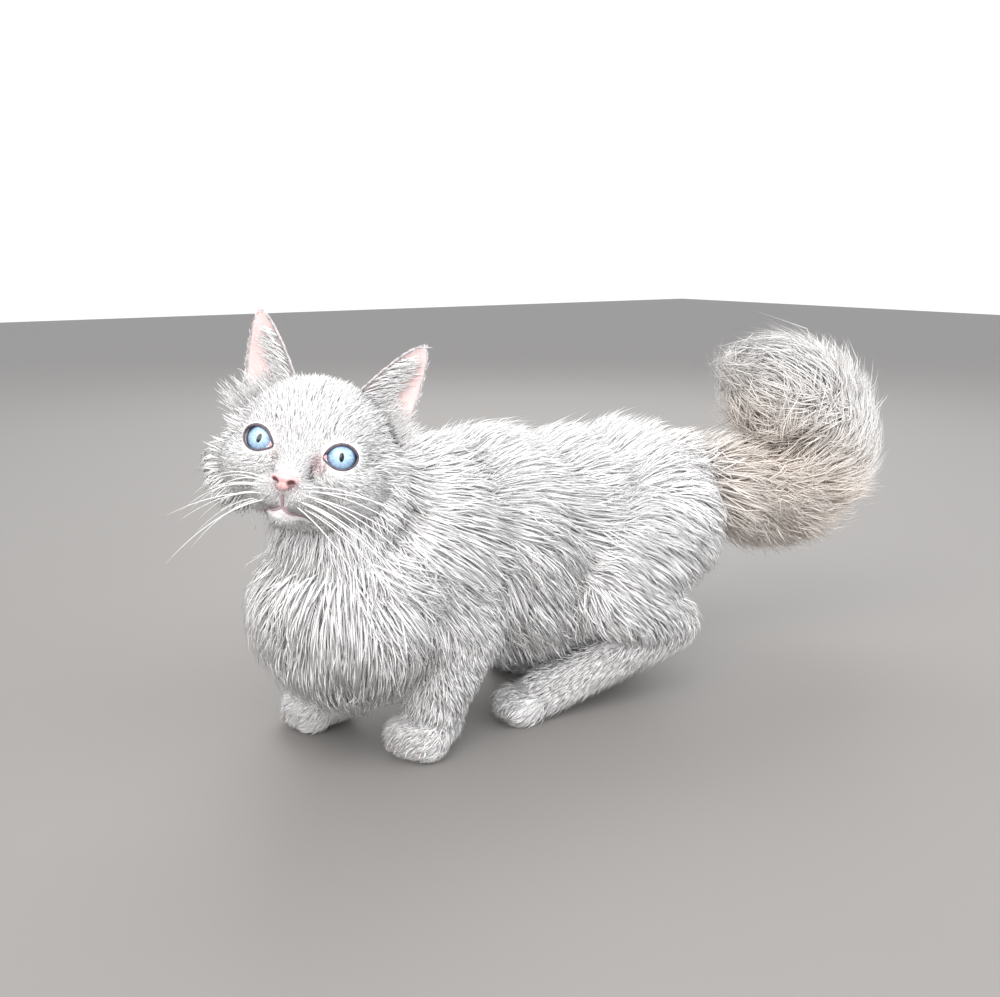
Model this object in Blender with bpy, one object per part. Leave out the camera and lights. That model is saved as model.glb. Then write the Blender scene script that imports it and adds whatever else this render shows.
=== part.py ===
"""A long-coated munchkin kitten, about three months old, standing low and looking round to its left.

The body is divided where a person would name its parts, and every part is a named object. Sizes are in
millimetres and turn to metres when a mesh is made. The kitten faces -Y, its own left side is +X, and it
stands on the floor at z = 0.
"""

import math
import random
from functools import partial

import bmesh
import bpy
from mathutils import Matrix, Vector
from mathutils.bvhtree import BVHTree
from mathutils.kdtree import KDTree

MM = 0.001
GAP = 0.35                      # the joint between two parts that touch
TOUCH = 0.015                   # points of one part closer than this all but touch
SEED = 3

# Where the standing kitten is moved to, so that its box is centred over the origin.
CENTRE = Vector((-0.85, 113.1, 0.0))

# Depth of the coat on each part, from the skin out to the tips.
BODY_COAT = 17.0
NECK_COAT = 13.0
CHEEK_COAT = 14.0
FACE_COAT = 3.0
LEG_COAT = 5.0
PAW_COAT = 2.5
THIGH_COAT = 10.0
CORE_SHARE = 0.5                # the solid core under the locks reaches this far towards the tips
LOCK_ROOT = 2.6                 # how deep in the core a lock starts
LOCK_RINGS = ((0.0, 0.85), (0.36, 1.0), (0.72, 0.62))   # share of a lock's length, share of its width

# The trunk at its skin: centre and half sizes of each mass, along a spine that bows to the kitten's right.
TRUNK = {
    "breast": ((2, -13, 66), (32, 26, 33)),
    "shoulders": ((-1, 20, 78), (34, 31, 39)),
    "ribs": ((-4, 55, 76), (34, 37, 40)),
    "belly": ((-4, 78, 58), (31, 44, 27)),
    "loin": ((-4, 95, 73), (33, 38, 37)),
    "pelvis": ((-1, 135, 74), (32, 33, 36)),
    "tail_head": ((2, 156, 88), (20, 18, 19)),
}
NECK = {
    "nape": ((-2, -2, 103), (22, 21, 20)),
    "throat": ((2, -17, 98), (22, 19, 22)),
}

# The head in its own frame: -Y is forward, +X its left, and the origin is the middle of the skull.
HEAD_PLACE = Vector((8.0, -29.8, 128.3))
HEAD_SIZE = 0.97                            # of the head's own frame in the kitten's
HEAD_TURN, HEAD_RAISE, HEAD_TILT = 52.0, 14.0, 12.5
SKULL = {
    "cranium": ((0, 5, 6), (26, 26, 22)),
    "forehead": ((0, -6, 8), (21, 14, 14)),
    "jaw": ((0, -6, -17), (18, 16, 11)),
    "stop": ((0, -13.5, 6), (8, 8, 7)),
    "bridge": ((0, -18.5, -1), (6.5, 7, 6.5)),
    "bridge_end": ((0, -23.5, -8), (5.5, 5.8, 5.6)),
    "chin": ((0, -18.5, -24.5), (6.2, 7.5, 5)),
}
SKULL_PAIRS = {
    "brow": ((13, -9, 8), (9, 8, 7)),
    "cheek": ((15, -7, -9), (15, 14, 11)),
    "whisker_pad": ((5.4, -21.5, -17), (7.4, 8, 5.6)),
}
CHEEK_FUR = ((24, 5, -12), (12, 7, 11))      # carries the long coat behind the cheeks, on both sides
EYE_PLACE, EYE_RADIUS = Vector((14.8, -13.2, 1.0)), 8.0
LID = 1.5                                   # how far the lids stand out from the eyeball
EYE_OPENING = (6.4, 5.1)                    # half width and half height between the lids
NOSE = {                                    # the leather of the nose: centre and half sizes
    "pad": ((0, -30.4, -11.4), (4.6, 3.2, 2.5)),
    "tip": ((0, -30.8, -13.8), (2.0, 2.4, 2.4)),
}
NOSTRIL = (Vector((2.3, -33.4, -12.9)), (1.2, 1.6, 0.8))
MOUTH = ((0, -17.4), (0, -21.8), (3.0, -23.5), (7.0, -23.9), (11.0, -26.4))   # x and z of its line, left half
EAR = {                                     # corners of the ear, and how deep its cup is
    "inner": Vector((10.5, 0, 24)), "outer": Vector((33, 9, 6)), "tip": Vector((34.5, 3, 51)),
    "cup": 8.5, "wall": 1.7,
}

# Limb joints at the bone, with the limb's radius there at the skin.
LEFT_FORELEG = (((19, 14, 76), 12), ((26, 26, 47), 12.5), ((25, 15, 24), 10))
RIGHT_FORELEG = (((-20, 9, 74), 13), ((-26, 15, 47), 12.5), ((-26, -5, 24), 10))
LEFT_FOREPAW = ((23.6, 10, 9), 22)
RIGHT_FOREPAW = ((-26.6, -14, 9), -4)
LEFT_THIGH = (((24, 138, 78), 24), ((33, 100, 56), 17), ((38, 134, 38), 9))
RIGHT_THIGH = (((-26, 142, 78), 24), ((-35, 122, 54), 17), ((-34, 160, 30), 9))
LEFT_HINDFOOT = (((38, 136, 34), 8), ((23, 72, 10.5), 8.5), -13)
RIGHT_HINDFOOT = (((-34, 161, 12), 8), ((-31, 106, 10.5), 8.5), 4)

# The tail runs back, sags and curls up over itself: joint and radius at the skin, and the coat there.
TAIL = (
    ((2, 162, 95), 8, 20),
    ((8, 193, 88), 7.5, 23),
    ((13, 222, 81), 7, 27),
    ((16, 247, 85), 6.5, 31),
    ((17, 260, 104), 6, 33),
    ((13, 250, 122), 5.5, 33),
    ((8, 233, 133), 4.5, 27),
)


def clear_scene():
    for thing in list(bpy.data.objects):
        bpy.data.objects.remove(thing)


def finish(name, colour, roughness):
    """A Principled material."""
    made = bpy.data.materials.get(name) or bpy.data.materials.new(name)
    made.use_nodes = True
    shader = made.node_tree.nodes["Principled BSDF"]
    shader.inputs["Base Color"].default_value = (*colour, 1.0)
    shader.inputs["Roughness"].default_value = roughness
    return made


def object_of(name, shape):
    """A mesh object made from a bmesh in millimetres."""
    mesh = bpy.data.meshes.new(name)
    shape.to_mesh(mesh)
    shape.free()
    made = bpy.data.objects.new(name, mesh)
    bpy.context.scene.collection.objects.link(made)
    return made


def apply_modifiers(thing):
    graph = bpy.context.evaluated_depsgraph_get()
    mesh = bpy.data.meshes.new_from_object(thing.evaluated_get(graph))
    thing.modifiers.clear()
    old, thing.data = thing.data, mesh
    bpy.data.meshes.remove(old)
    return thing


def triangle_count(thing):
    return sum(len(face.vertices) - 2 for face in thing.data.polygons)


def clay(name, masses, voxel, passes, triangles, floor=False):
    """Ellipsoids pressed into one smooth body. Each mass is a centre, three half sizes and a rotation."""
    shape = bmesh.new()
    for centre, radii, turn in masses:
        place = Matrix.Translation(Vector(centre)) @ turn.to_4x4() @ Matrix.Diagonal((*radii, 1.0))
        bmesh.ops.create_icosphere(shape, subdivisions=3, radius=1.0, matrix=place)
    made = object_of(name, shape)
    press = made.modifiers.new("press", "REMESH")
    press.mode = "VOXEL"
    press.voxel_size = voxel
    soften = made.modifiers.new("soften", "SMOOTH")
    soften.factor = 0.5
    soften.iterations = passes
    apply_modifiers(made)
    if floor:
        for point in made.data.vertices:
            point.co.z = max(point.co.z, 0.0)
    thin = made.modifiers.new("thin", "DECIMATE")
    thin.ratio = min(1.0, triangles / triangle_count(made))
    thin.use_collapse_triangulate = True
    apply_modifiers(made)
    if floor:
        for point in made.data.vertices:
            if point.co.z < 0.4:
                point.co.z = 0.0
    return made


def mass(centre, radii, grow=0.0, turn=None):
    return centre, tuple(r + grow for r in radii), turn or Matrix.Identity(3)


def limb_masses(joints, grow=0.0):
    """Balls strung closely between joints, each joint a centre and a radius, so that they press into a limb."""
    made = []
    for (start, r0), (end, r1) in zip(joints, joints[1:]):
        start, end = Vector(start), Vector(end)
        steps = max(2, round((end - start).length / 4.0))
        for step in range(steps + 1):
            t = step / steps
            radius = r0 + (r1 - r0) * t + grow
            made.append((start.lerp(end, t), (radius,) * 3, Matrix.Identity(3)))
    return made


def copy_of(thing, swell=0.0):
    """A loose copy of a part, swollen all round by so much."""
    copy = thing.copy()
    copy.data = thing.data.copy()
    bpy.context.scene.collection.objects.link(copy)
    if swell:
        change = copy.modifiers.new("swell", "DISPLACE")
        change.strength = swell
        change.mid_level = 0.0
        apply_modifiers(copy)
    return copy


def combine(thing, others, operation="DIFFERENCE", solver="EXACT"):
    """Cuts the others from a part, or joins them to it, removes them, and keeps one closed surface. Tells
    whether that is sound."""
    group = bpy.data.collections.new("operands")
    bpy.context.scene.collection.children.link(group)
    for other in others:
        group.objects.link(other)
    change = thing.modifiers.new("combine", "BOOLEAN")
    change.operation = operation
    change.operand_type = "COLLECTION"
    change.collection = group
    change.solver = solver
    apply_modifiers(thing)
    for other in others:
        bpy.data.objects.remove(other)
    bpy.data.collections.remove(group)
    return keep_largest(thing)


def box_of(thing):
    """Lowest and highest corner of a part."""
    points = [point.co for point in thing.data.vertices]
    return [[pick(point[axis] for point in points) for axis in range(3)] for pick in (min, max)]


def meets(one, other):
    (low_a, high_a), (low_b, high_b) = box_of(one), box_of(other)
    return all(low_a[k] < high_b[k] + GAP and low_b[k] < high_a[k] + GAP for k in range(3))


def cut_back(part, settled, gap, carve):
    """Cuts a part back from the cores and locks that it meets, each made anew with a gap all round, and carves
    it in the same go, so that the socket of an eye is never sealed. Tells whether it stays sound."""
    near = [copy_of(other) for other in carve]
    for make in settled:
        other = make(gap)
        if meets(part, other):
            near.append(other)
        else:
            bpy.data.objects.remove(other)
    return combine(part, near, "DIFFERENCE", "MANIFOLD") if near else True


def islands_of(shape):
    """The separate surfaces of a mesh, largest first. A surface is taken to end where four faces meet on one
    edge, so that a flat pocket hanging on such an edge counts as one of its own."""
    islands, seen = [], set()
    for face in shape.faces:
        if face in seen:
            continue
        seen.add(face)
        island, rim = [face], [face]
        while rim:
            for edge in rim.pop().edges:
                for near in edge.link_faces if edge.is_manifold else ():
                    if near not in seen:
                        seen.add(near)
                        island.append(near)
                        rim.append(near)
        islands.append(island)
    return sorted(islands, key=volume_of, reverse=True)


def is_sound(shape):
    """Whether every edge has two faces and no two points all but touch."""
    if not all(edge.is_manifold for edge in shape.edges):
        return False
    tree = KDTree(len(shape.verts))
    for index, point in enumerate(shape.verts):
        tree.insert(point.co, index)
    tree.balance()
    return all(len(tree.find_range(point.co, TOUCH)) == 1 for point in shape.verts)


def keep_largest(thing):
    """Merges a part's level triangles and drops every loose scrap but its largest closed surface. It tries a few
    ways and keeps the first sound one, and tells whether there was one."""
    ways = [(merge, way) for merge in (0.02, 0.0) for way in ("BEAUTY", "EAR_CLIP")]
    for merge, way in ways:
        shape = bmesh.new()
        shape.from_mesh(thing.data)
        bmesh.ops.dissolve_degenerate(shape, dist=TOUCH, edges=shape.edges)
        if merge:
            bmesh.ops.dissolve_limit(
                shape, angle_limit=math.radians(merge), verts=shape.verts, edges=shape.edges
            )
        bmesh.ops.triangulate(shape, faces=shape.faces, quad_method="SHORT_EDGE", ngon_method=way)
        scraps = [face for island in islands_of(shape)[1:] for face in island]
        bmesh.ops.delete(shape, geom=scraps, context="FACES")
        sound = is_sound(shape)
        if sound:
            break
    shape.to_mesh(thing.data)
    shape.free()
    return sound


def volume_of(faces):
    """Volume inside a closed set of triangles."""
    total = 0.0
    for face in faces:
        a, b, c = (corner.co for corner in face.verts)
        total += a.dot(b.cross(c)) / 6.0
    return total


def surface_of(*things):
    """A search tree over the faces of some parts."""
    points, faces = [], []
    for thing in things:
        faces += [tuple(index + len(points) for index in face.vertices) for face in thing.data.polygons]
        points += [point.co.copy() for point in thing.data.vertices]
    return BVHTree.FromPolygons(points, faces)


def inside(tree, point):
    """Whether a point is inside a closed form: a line from it then leaves through an odd number of faces."""
    crossings, ahead = 0, Vector((0.13, 0.21, 0.97)).normalized()
    hit = tree.ray_cast(point, ahead)[0]
    while hit is not None:
        crossings += 1
        hit = tree.ray_cast(hit + ahead * 0.01, ahead)[0]
    return crossings % 2 == 1


def lock_path(tree, start, lie_of, length, depth):
    """Where one lock of hair runs: at the places of its rings and its tip, the point, the way out and the way
    ahead. It starts inside the core, is combed over its surface along the lie, and rises to a tip at the coat's
    depth. It bends with the surface where that is round, but goes straight over a hollow. One that would twist
    too sharply isn't made."""
    place, out, _, _ = tree.find_nearest(start)
    shares = [share for share, _ in LOCK_RINGS] + [1.0]
    path = []
    for share, following in zip(shares, shares[1:] + [None]):
        lie = lie_of(place, out)
        lie = (lie - out * lie.dot(out)).normalized()
        height = -LOCK_ROOT + (depth + LOCK_ROOT) * share ** 1.15
        path.append((place + out * height, out, lie))
        if following:
            place, normal, _, _ = tree.find_nearest(place + lie * length * (following - share))
            out = (out + normal * 1.5).normalized() if normal.dot(lie) > 0 else out
    for (_, out, lie), (_, next_out, next_lie) in zip(path, path[1:]):
        if out.dot(next_out) < 0.5 or lie.dot(next_lie) < 0.5:
            return None
    return path


def lock(path, width, swell=0.0):
    """One flat lock of hair along its path, swollen all round by so much. Its section is a low ridge with a
    flat underside."""
    shape = bmesh.new()
    rings = []
    for (_, wide), (point, out, lie) in zip(LOCK_RINGS, path):
        half, rise = width * wide / 2, width * wide * 0.34
        across = out.cross(lie).normalized()
        inner = half * rise / (half + math.hypot(half, rise))
        middle = point + out * inner
        back = Vector() if rings else lie * swell
        corners = (point - across * half, point + across * half, point + out * rise)
        rings.append([
            shape.verts.new(middle + (corner - middle) * (1 + swell / inner) - back) for corner in corners
        ])
    end = path[-1][0]
    tip = shape.verts.new(end + (end - middle) * (swell / inner))
    for low, high in zip(rings, rings[1:]):
        for k in range(3):
            n = (k + 1) % 3
            shape.faces.new((low[k], low[n], high[n]))
            shape.faces.new((low[k], high[n], high[k]))
    for k in range(3):
        shape.faces.new((rings[-1][k], rings[-1][(k + 1) % 3], tip))
    shape.faces.new(rings[0][::-1])
    bmesh.ops.recalc_face_normals(shape, faces=shape.faces)
    if shape.calc_volume(signed=True) < 0:
        bmesh.ops.reverse_faces(shape, faces=shape.faces)
    return object_of("lock", shape)


def is_folded(thing):
    """Whether a loose form turns in on itself anywhere. Removes it."""
    shape = bmesh.new()
    shape.from_mesh(thing.data)
    deepest = min(edge.calc_face_angle_signed() for edge in shape.edges)
    shape.free()
    bpy.data.objects.remove(thing)
    return deepest < -0.9


def crossings(part, others):
    """Where faces of a part run through those of others."""
    own, found = surface_of(part), []
    for other in others:
        if meets(part, other):
            found += [part.data.polygons[face].center.copy() for face, _ in own.overlap(surface_of(other))]
    return found


def lies_near(path, places, reach):
    """Whether a lock's path passes within reach of one of the places."""
    return any((point - place).length < reach for point, _, _ in path for place in places)


def coat(core, whole, dice, rays, lie_of, length, width, depth):
    """Makers of the locks that grow where the rays leave a core. The cores before any cut, in whole, are what
    they are combed over, and none is grown where another core covers its root."""
    own = surface_of(whole[core.name])
    near = [other for name, other in whole.items() if name != core.name and meets(whole[core.name], other)]
    covers = [surface_of(other) for other in near]
    common = surface_of(whole[core.name], *near)
    locks = []
    for origin, direction in rays:
        spread = Vector([dice.uniform(-0.1, 0.1) for _ in range(3)])
        start, normal, _, _ = own.ray_cast(Vector(origin), (Vector(direction).normalized() + spread).normalized())
        stretch, turn, broad, deep = (dice.uniform(-1, 1) for _ in range(4))
        if start is None or any(inside(cover, start + normal) for cover in covers):
            continue

        def combed(place, out, turn=turn * 0.3):
            return Matrix.Rotation(turn, 3, out) @ lie_of(place, out)

        path = lock_path(common, start, combed, length * (1 + 0.18 * stretch), depth * (0.95 + 0.14 * deep))
        make = partial(lock, path, width * (1 + 0.15 * broad))
        if path and not is_folded(make()):
            locks.append(make)
    return locks


def ring_rays(centre, axis, count, first=0.0, sweep=math.tau, tilt=0.0):
    """Rays from a centre, evenly round an axis, each tilted so much towards the axis."""
    axis = Vector(axis).normalized()
    side = axis.orthogonal().normalized() if abs(axis.x) > 0.9 else axis.cross(Vector((1, 0, 0))).normalized()
    other = axis.cross(side)
    rays = []
    for step in range(count):
        angle = first + sweep * step / count
        out = side * math.cos(angle) + other * math.sin(angle)
        rays.append((centre, out * math.cos(tilt) + axis * math.sin(tilt)))
    return rays


def head_matrix():
    """From the head's own frame to the kitten's."""
    return (
        Matrix.Translation(HEAD_PLACE)
        @ Matrix.Rotation(math.radians(HEAD_TURN), 4, "Z")
        @ Matrix.Rotation(math.radians(-HEAD_RAISE), 4, "X")
        @ Matrix.Rotation(math.radians(HEAD_TILT), 4, "Y")
        @ Matrix.Scale(HEAD_SIZE, 4)
    )


def in_head(centre, radii, grow=0.0, turn=None):
    """A mass given in the head's frame."""
    frame = head_matrix()
    return (
        frame @ Vector(centre),
        tuple(HEAD_SIZE * (r + grow) for r in radii),
        frame.to_3x3().normalized() @ (turn or Matrix.Identity(3)),
    )


def trunk_core():
    return clay("torso", [mass(c, r, BODY_COAT * CORE_SHARE) for c, r in TRUNK.values()], 4.0, 12, 360)


def trunk_lie(place, normal):
    """Back along the body, down its sides, and straight down the breast."""
    front = min(1.0, max(0.0, (12 - place.y) / 34))
    fall = 0.12 + 0.95 * (1 - max(0.0, normal.z)) ** 1.4
    return Vector((0.0, 0.75 * (1 - front) + 0.04, -fall * (1 + 0.8 * front)))


def trunk_coat(core, whole, dice):
    rays = []
    for number, y in enumerate((18, 56, 94, 132)):
        bow = 0.00079 * (y - 70) ** 2 - 4
        rays += ring_rays((bow, y, 72), (0, 1, 0), 9, first=math.pi / 2 + (number % 2) * math.tau / 18)
    for tilt, count in ((26, 3), (-2, 6), (-38, 4)):
        for step in range(count):
            turn = math.radians(-105 + 210 * (step + 0.5) / count)
            low = math.radians(tilt)
            rays.append((
                (2, -8, 74), (math.sin(turn) * math.cos(low), -math.cos(turn) * math.cos(low), math.sin(low))
            ))
    rays += [((2, 150, 80), (turn, 1, -0.25)) for turn in (-0.6, 0.6)]
    return coat(core, whole, dice, rays, trunk_lie, 52, 28, BODY_COAT * (1 - CORE_SHARE))


def neck_core():
    return clay("neck", [mass(c, r, NECK_COAT * CORE_SHARE) for c, r in NECK.values()], 4.0, 6, 160)


def neck_coat(core, whole, dice):
    rays = ring_rays((0, -10, 96), (0, 0, 1), 8, first=0.2)
    rays += ring_rays((0, -9, 99), (0, 0, 1), 8, first=0.6, tilt=math.radians(18))
    return coat(core, whole, dice, rays, lambda place, normal: Vector((0, 0.12, -1)), 36, 19, 10)


def head_core():
    """Skull, cheeks, muzzle and chin under short fur, with lids raised over the eyes and the cheek fur behind."""
    masses = [in_head(c, r, FACE_COAT * 0.6) for c, r in SKULL.values()]
    for side in (-1, 1):
        for (x, y, z), radii in SKULL_PAIRS.values():
            masses.append(in_head((side * x, y, z), radii, FACE_COAT * 0.6))
        (x, y, z), radii = CHEEK_FUR
        masses.append(in_head((side * x, y, z), radii, CHEEK_COAT * CORE_SHARE))
        lids = (EYE_RADIUS + LID,) * 3
        masses.append(in_head((side * EYE_PLACE.x, EYE_PLACE.y, EYE_PLACE.z), lids))
    return clay("head", masses, 1.2, 8, 1100)


def head_coat(core, whole, dice):
    """The cheek fur fans out and back from the face."""
    frame = head_matrix()
    rays = []
    for side in (-1, 1):
        for y, count in ((-4, 3), (6, 4)):
            for step in range(count):
                turn = math.radians(14 - 104 * step / (count - 1))
                out = Vector((side * math.cos(turn), 0.0, math.sin(turn)))
                rays.append((frame @ Vector((side * 14, y, -9)), frame.to_3x3() @ out))
    middle = frame @ Vector((0, -18, 0))

    def from_the_face(place, normal):
        return (place - middle).normalized() - Vector((0, 0, 0.4))

    return coat(core, whole, dice, rays, from_the_face, 24, 14, CHEEK_COAT * (1 - CORE_SHARE) + 5)


def eye_opening(side):
    """The almond between the lids, run out along the line of sight."""
    half_width, half_height = EYE_OPENING
    shape = bmesh.new()
    rims = []
    for depth in (-EYE_RADIUS * 2.2, -1.0):
        rim = []
        for step in range(18):
            angle = math.tau * step / 18
            x = half_width * math.cos(angle)
            z = half_height * math.sin(angle) * (1 - 0.12 * abs(math.cos(angle)) ** 3)
            rim.append(shape.verts.new((x, depth, z)))
        rims.append(rim)
    for a, b, c, d in zip(rims[0], rims[0][1:] + rims[0][:1], rims[1][1:] + rims[1][:1], rims[1]):
        shape.faces.new((a, b, c, d))
    shape.faces.new(rims[0][::-1])
    shape.faces.new(rims[1])
    bmesh.ops.recalc_face_normals(shape, faces=shape.faces)
    slant = Matrix.Rotation(math.radians(side * -9), 4, "Y") @ Matrix.Rotation(math.radians(side * 16), 4, "Z")
    place = Matrix.Translation((side * EYE_PLACE.x, EYE_PLACE.y, EYE_PLACE.z))
    shape.transform(head_matrix() @ place @ slant)
    return object_of("opening", shape)


def surface_point(tree, x, z):
    """Where the front of the face is, seen from ahead, at x and z of the head's frame."""
    frame = head_matrix()
    forward = (frame.to_3x3() @ Vector((0, 1, 0))).normalized()
    hit, _, _, _ = tree.ray_cast(frame @ Vector((x, -60, z)), forward)
    return frame.inverted() @ hit


def mouth_groove(head):
    """A thin tube laid along the line of the mouth, half sunk in the face."""
    tree = surface_of(head)
    lines = [MOUTH[:2]] + [[(side * x, z) for x, z in MOUTH[1:]] for side in (-1, 1)]
    cutters = []
    for number, line in enumerate(lines):
        points = []
        for (x0, z0), (x1, z1) in zip(line, line[1:]):
            for step in range(3):
                t = step / 3
                points.append(surface_point(tree, x0 + (x1 - x0) * t, z0 + (z1 - z0) * t))
        points.append(surface_point(tree, *line[-1]))
        cutters.append(tube(f"groove_{number}", points, 0.75))
    return cutters


def tube(name, points, radius, sides=6):
    """A round tube along points of the head's frame, closed by a flat at each end."""
    shape = bmesh.new()
    rings = []
    for index, point in enumerate(points):
        ahead = points[min(index + 1, len(points) - 1)] - points[max(index - 1, 0)]
        across = ahead.cross(Vector((0, 1, 0))).normalized()
        out = across.cross(ahead).normalized()
        rings.append([
            shape.verts.new(
                point + radius * (across * math.cos(math.tau * k / sides) + out * math.sin(math.tau * k / sides))
            )
            for k in range(sides)
        ])
    for low, high in zip(rings, rings[1:]):
        for k in range(sides):
            shape.faces.new((low[k], low[(k + 1) % sides], high[(k + 1) % sides], high[k]))
    shape.faces.new(rings[0][::-1])
    shape.faces.new(rings[-1])
    bmesh.ops.recalc_face_normals(shape, faces=shape.faces)
    shape.transform(head_matrix())
    return object_of(name, shape)


def make_ear(side):
    """A thin cupped triangle with rounded edges: an inner and an outer grid joined round the rim."""
    name = "ear_left" if side > 0 else "ear_right"
    inner, outer, tip = EAR["inner"], EAR["outer"], EAR["tip"]
    middle = (inner + outer) / 2
    across, up = (outer - inner), (tip - middle)
    back = across.cross(up).normalized()
    if back.y < 0:
        back.negate()
    columns, rows = 8, 7
    shape = bmesh.new()
    sheets = []
    for wall in (0.0, EAR["wall"]):
        sheet = []
        for row in range(rows):
            v = math.sin(math.pi / 2 * row / (rows - 1))
            width = (1 - v) ** 0.6 * 0.985 + 0.015
            line = []
            for column in range(columns + 1):
                u = 2 * column / columns - 1
                bulge = 1 - u * u
                point = middle + up * v + across * (0.5 * u * width)
                point = point + back * (EAR["cup"] * (1 - v) ** 0.8 * bulge + wall * (0.35 + 0.65 * bulge))
                line.append(shape.verts.new((side * point.x, point.y, point.z)))
            sheet.append(line)
        sheets.append(sheet)
    front, rear = sheets
    for sheet in sheets:
        for row in range(rows - 1):
            for column in range(columns):
                a, b = sheet[row][column], sheet[row][column + 1]
                c, d = sheet[row + 1][column + 1], sheet[row + 1][column]
                shape.faces.new((a, b, c, d))
    rim = lambda sheet: (
        [sheet[0][c] for c in range(columns + 1)] + [sheet[r][columns] for r in range(1, rows)]
        + [sheet[rows - 1][c] for c in range(columns - 1, -1, -1)] + [sheet[r][0] for r in range(rows - 2, 0, -1)]
    )
    one, two = rim(front), rim(rear)
    for k in range(len(one)):
        n = (k + 1) % len(one)
        shape.faces.new((one[k], one[n], two[n], two[k]))
    for face in shape.faces:
        face.normal_update()
    bmesh.ops.recalc_face_normals(shape, faces=shape.faces)
    shape.transform(head_matrix())
    bmesh.ops.triangulate(shape, faces=shape.faces)
    return object_of(name, shape)


def make_eye(side):
    name = "eye_left" if side > 0 else "eye_right"
    place = Vector((side * EYE_PLACE.x, EYE_PLACE.y, EYE_PLACE.z))
    shape = bmesh.new()
    bmesh.ops.create_uvsphere(
        shape, u_segments=12, v_segments=7, radius=EYE_RADIUS,
        matrix=head_matrix() @ Matrix.Translation(place) @ Matrix.Rotation(math.pi / 2, 4, "X"),
    )
    return object_of(name, shape)


def make_nose():
    nose = clay("nose", [in_head(c, r) for c, r in NOSE.values()], 0.5, 4, 220)
    place, radii = NOSTRIL
    for side in (-1, 1):
        turn = Matrix.Rotation(math.radians(side * 25), 3, "Y")
        nostril = clay("nostril", [in_head((side * place.x, place.y, place.z), radii, 0.0, turn)], 0.4, 1, 40)
        combine(nose, [nostril])
    return nose


def make_paw(name, place, yaw):
    """A round paw: a pad body and four toes, flat underneath. It points along -Y, turned by yaw."""
    turn = Matrix.Rotation(math.radians(yaw), 3, "Z")
    base = Vector(place)
    masses = [mass(base + turn @ Vector((0, 4, 2)), (10.5, 12, 10), PAW_COAT, turn)]
    for toe in range(4):
        across = (toe - 1.5) * 5.6
        ahead = -8.0 + 0.9 * (toe - 1.5) ** 2
        masses.append(mass(base + turn @ Vector((across, ahead, -1.5)), (3.6, 7.0, 6.2), PAW_COAT, turn))
    return clay(name, masses, 1.6, 3, 300, floor=True)


def foreleg_core(name, joints):
    return clay(name, limb_masses(joints, LEG_COAT * 0.7), 2.8, 5, 150)


def foreleg_coat(core, whole, dice, joints):
    """Longer fur behind and beside the elbow."""
    (shoulder, _), (elbow, _), (wrist, _) = joints
    rays = []
    for share in (0.0, 0.45):
        centre = Vector(elbow).lerp(Vector(wrist), share)
        rays += ring_rays(centre, (0, 0, -1), 5, first=share * 3)
    return coat(core, whole, dice, rays, lambda place, normal: Vector((0, 0.35, -1)), 20, 13, 3)


def thigh_core(name, joints):
    return clay(name, limb_masses(joints, THIGH_COAT * CORE_SHARE), 3.4, 5, 130)


def thigh_coat(core, whole, dice, joints):
    (hip, _), (knee, _), (hock, _) = joints
    hip, knee, hock = Vector(hip), Vector(knee), Vector(hock)
    outward = (1 if hip.x > 0 else -1, 0.1, 0)
    rays = [(hip.lerp(knee, 0.35), outward)]
    for centre, count, tilt in ((hip, 5, 38), (hip.lerp(knee, 0.8), 4, 22), (knee.lerp(hock, 0.5), 3, 25)):
        rays += ring_rays(centre, outward, count, first=count * 0.4, tilt=math.radians(tilt))
    depth = THIGH_COAT * (1 - CORE_SHARE) + 2
    return coat(core, whole, dice, rays, lambda place, normal: Vector((0, 0.7, -0.75)), 34, 23, depth)


def make_hindfoot(name, heel, ball, yaw):
    """The long foot from the heel down to the ball, with four toes ahead of it, flat underneath."""
    turn = Matrix.Rotation(math.radians(yaw), 3, "Z")
    masses = limb_masses((heel, ball), PAW_COAT)
    for toe in range(4):
        across, ahead = (toe - 1.5) * 5.0, -13.0 + 0.9 * (toe - 1.5) ** 2
        centre = Vector(ball[0]) + turn @ Vector((across, ahead, -4.0))
        masses.append(mass(centre, (3.4, 8.0, 5.8), PAW_COAT, turn))
    return clay(name, masses, 1.8, 3, 320, floor=True)


def tail_core(name, first, last):
    stretch = TAIL[first : last + 1]
    return clay(name, limb_masses([(c, r + hair * CORE_SHARE) for c, r, hair in stretch]), 3.5, 6, 110)


def tail_coat(core, whole, dice, first, last):
    """The tail's hair stands well out and slants towards the tip, and closes the end like a brush."""
    points = [Vector(centre) for centre, _, _ in TAIL]
    rays = []
    for index in range(first, last):
        ahead = (points[index + 1] - points[index]).normalized()
        rays += ring_rays(points[index].lerp(points[index + 1], 0.4), ahead, 6, first=index * 0.5)
    if last == len(points) - 1:
        rays += ring_rays(points[last], ahead, 4, tilt=math.radians(50))

    def to_the_tip(place, normal):
        nearest = min(range(len(points)), key=lambda k: (points[k] - place).length)
        ahead = (points[min(nearest + 1, len(points) - 1)] - points[max(nearest - 1, 0)]).normalized()
        return ahead + Vector((0, 0, -0.15))

    stretch = TAIL[first : last + 1]
    depth = sum(hair for _, _, hair in stretch) / len(stretch) * (1 - CORE_SHARE)
    return coat(core, whole, dice, rays, to_the_tip, 35, 24, depth + 5)


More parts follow.
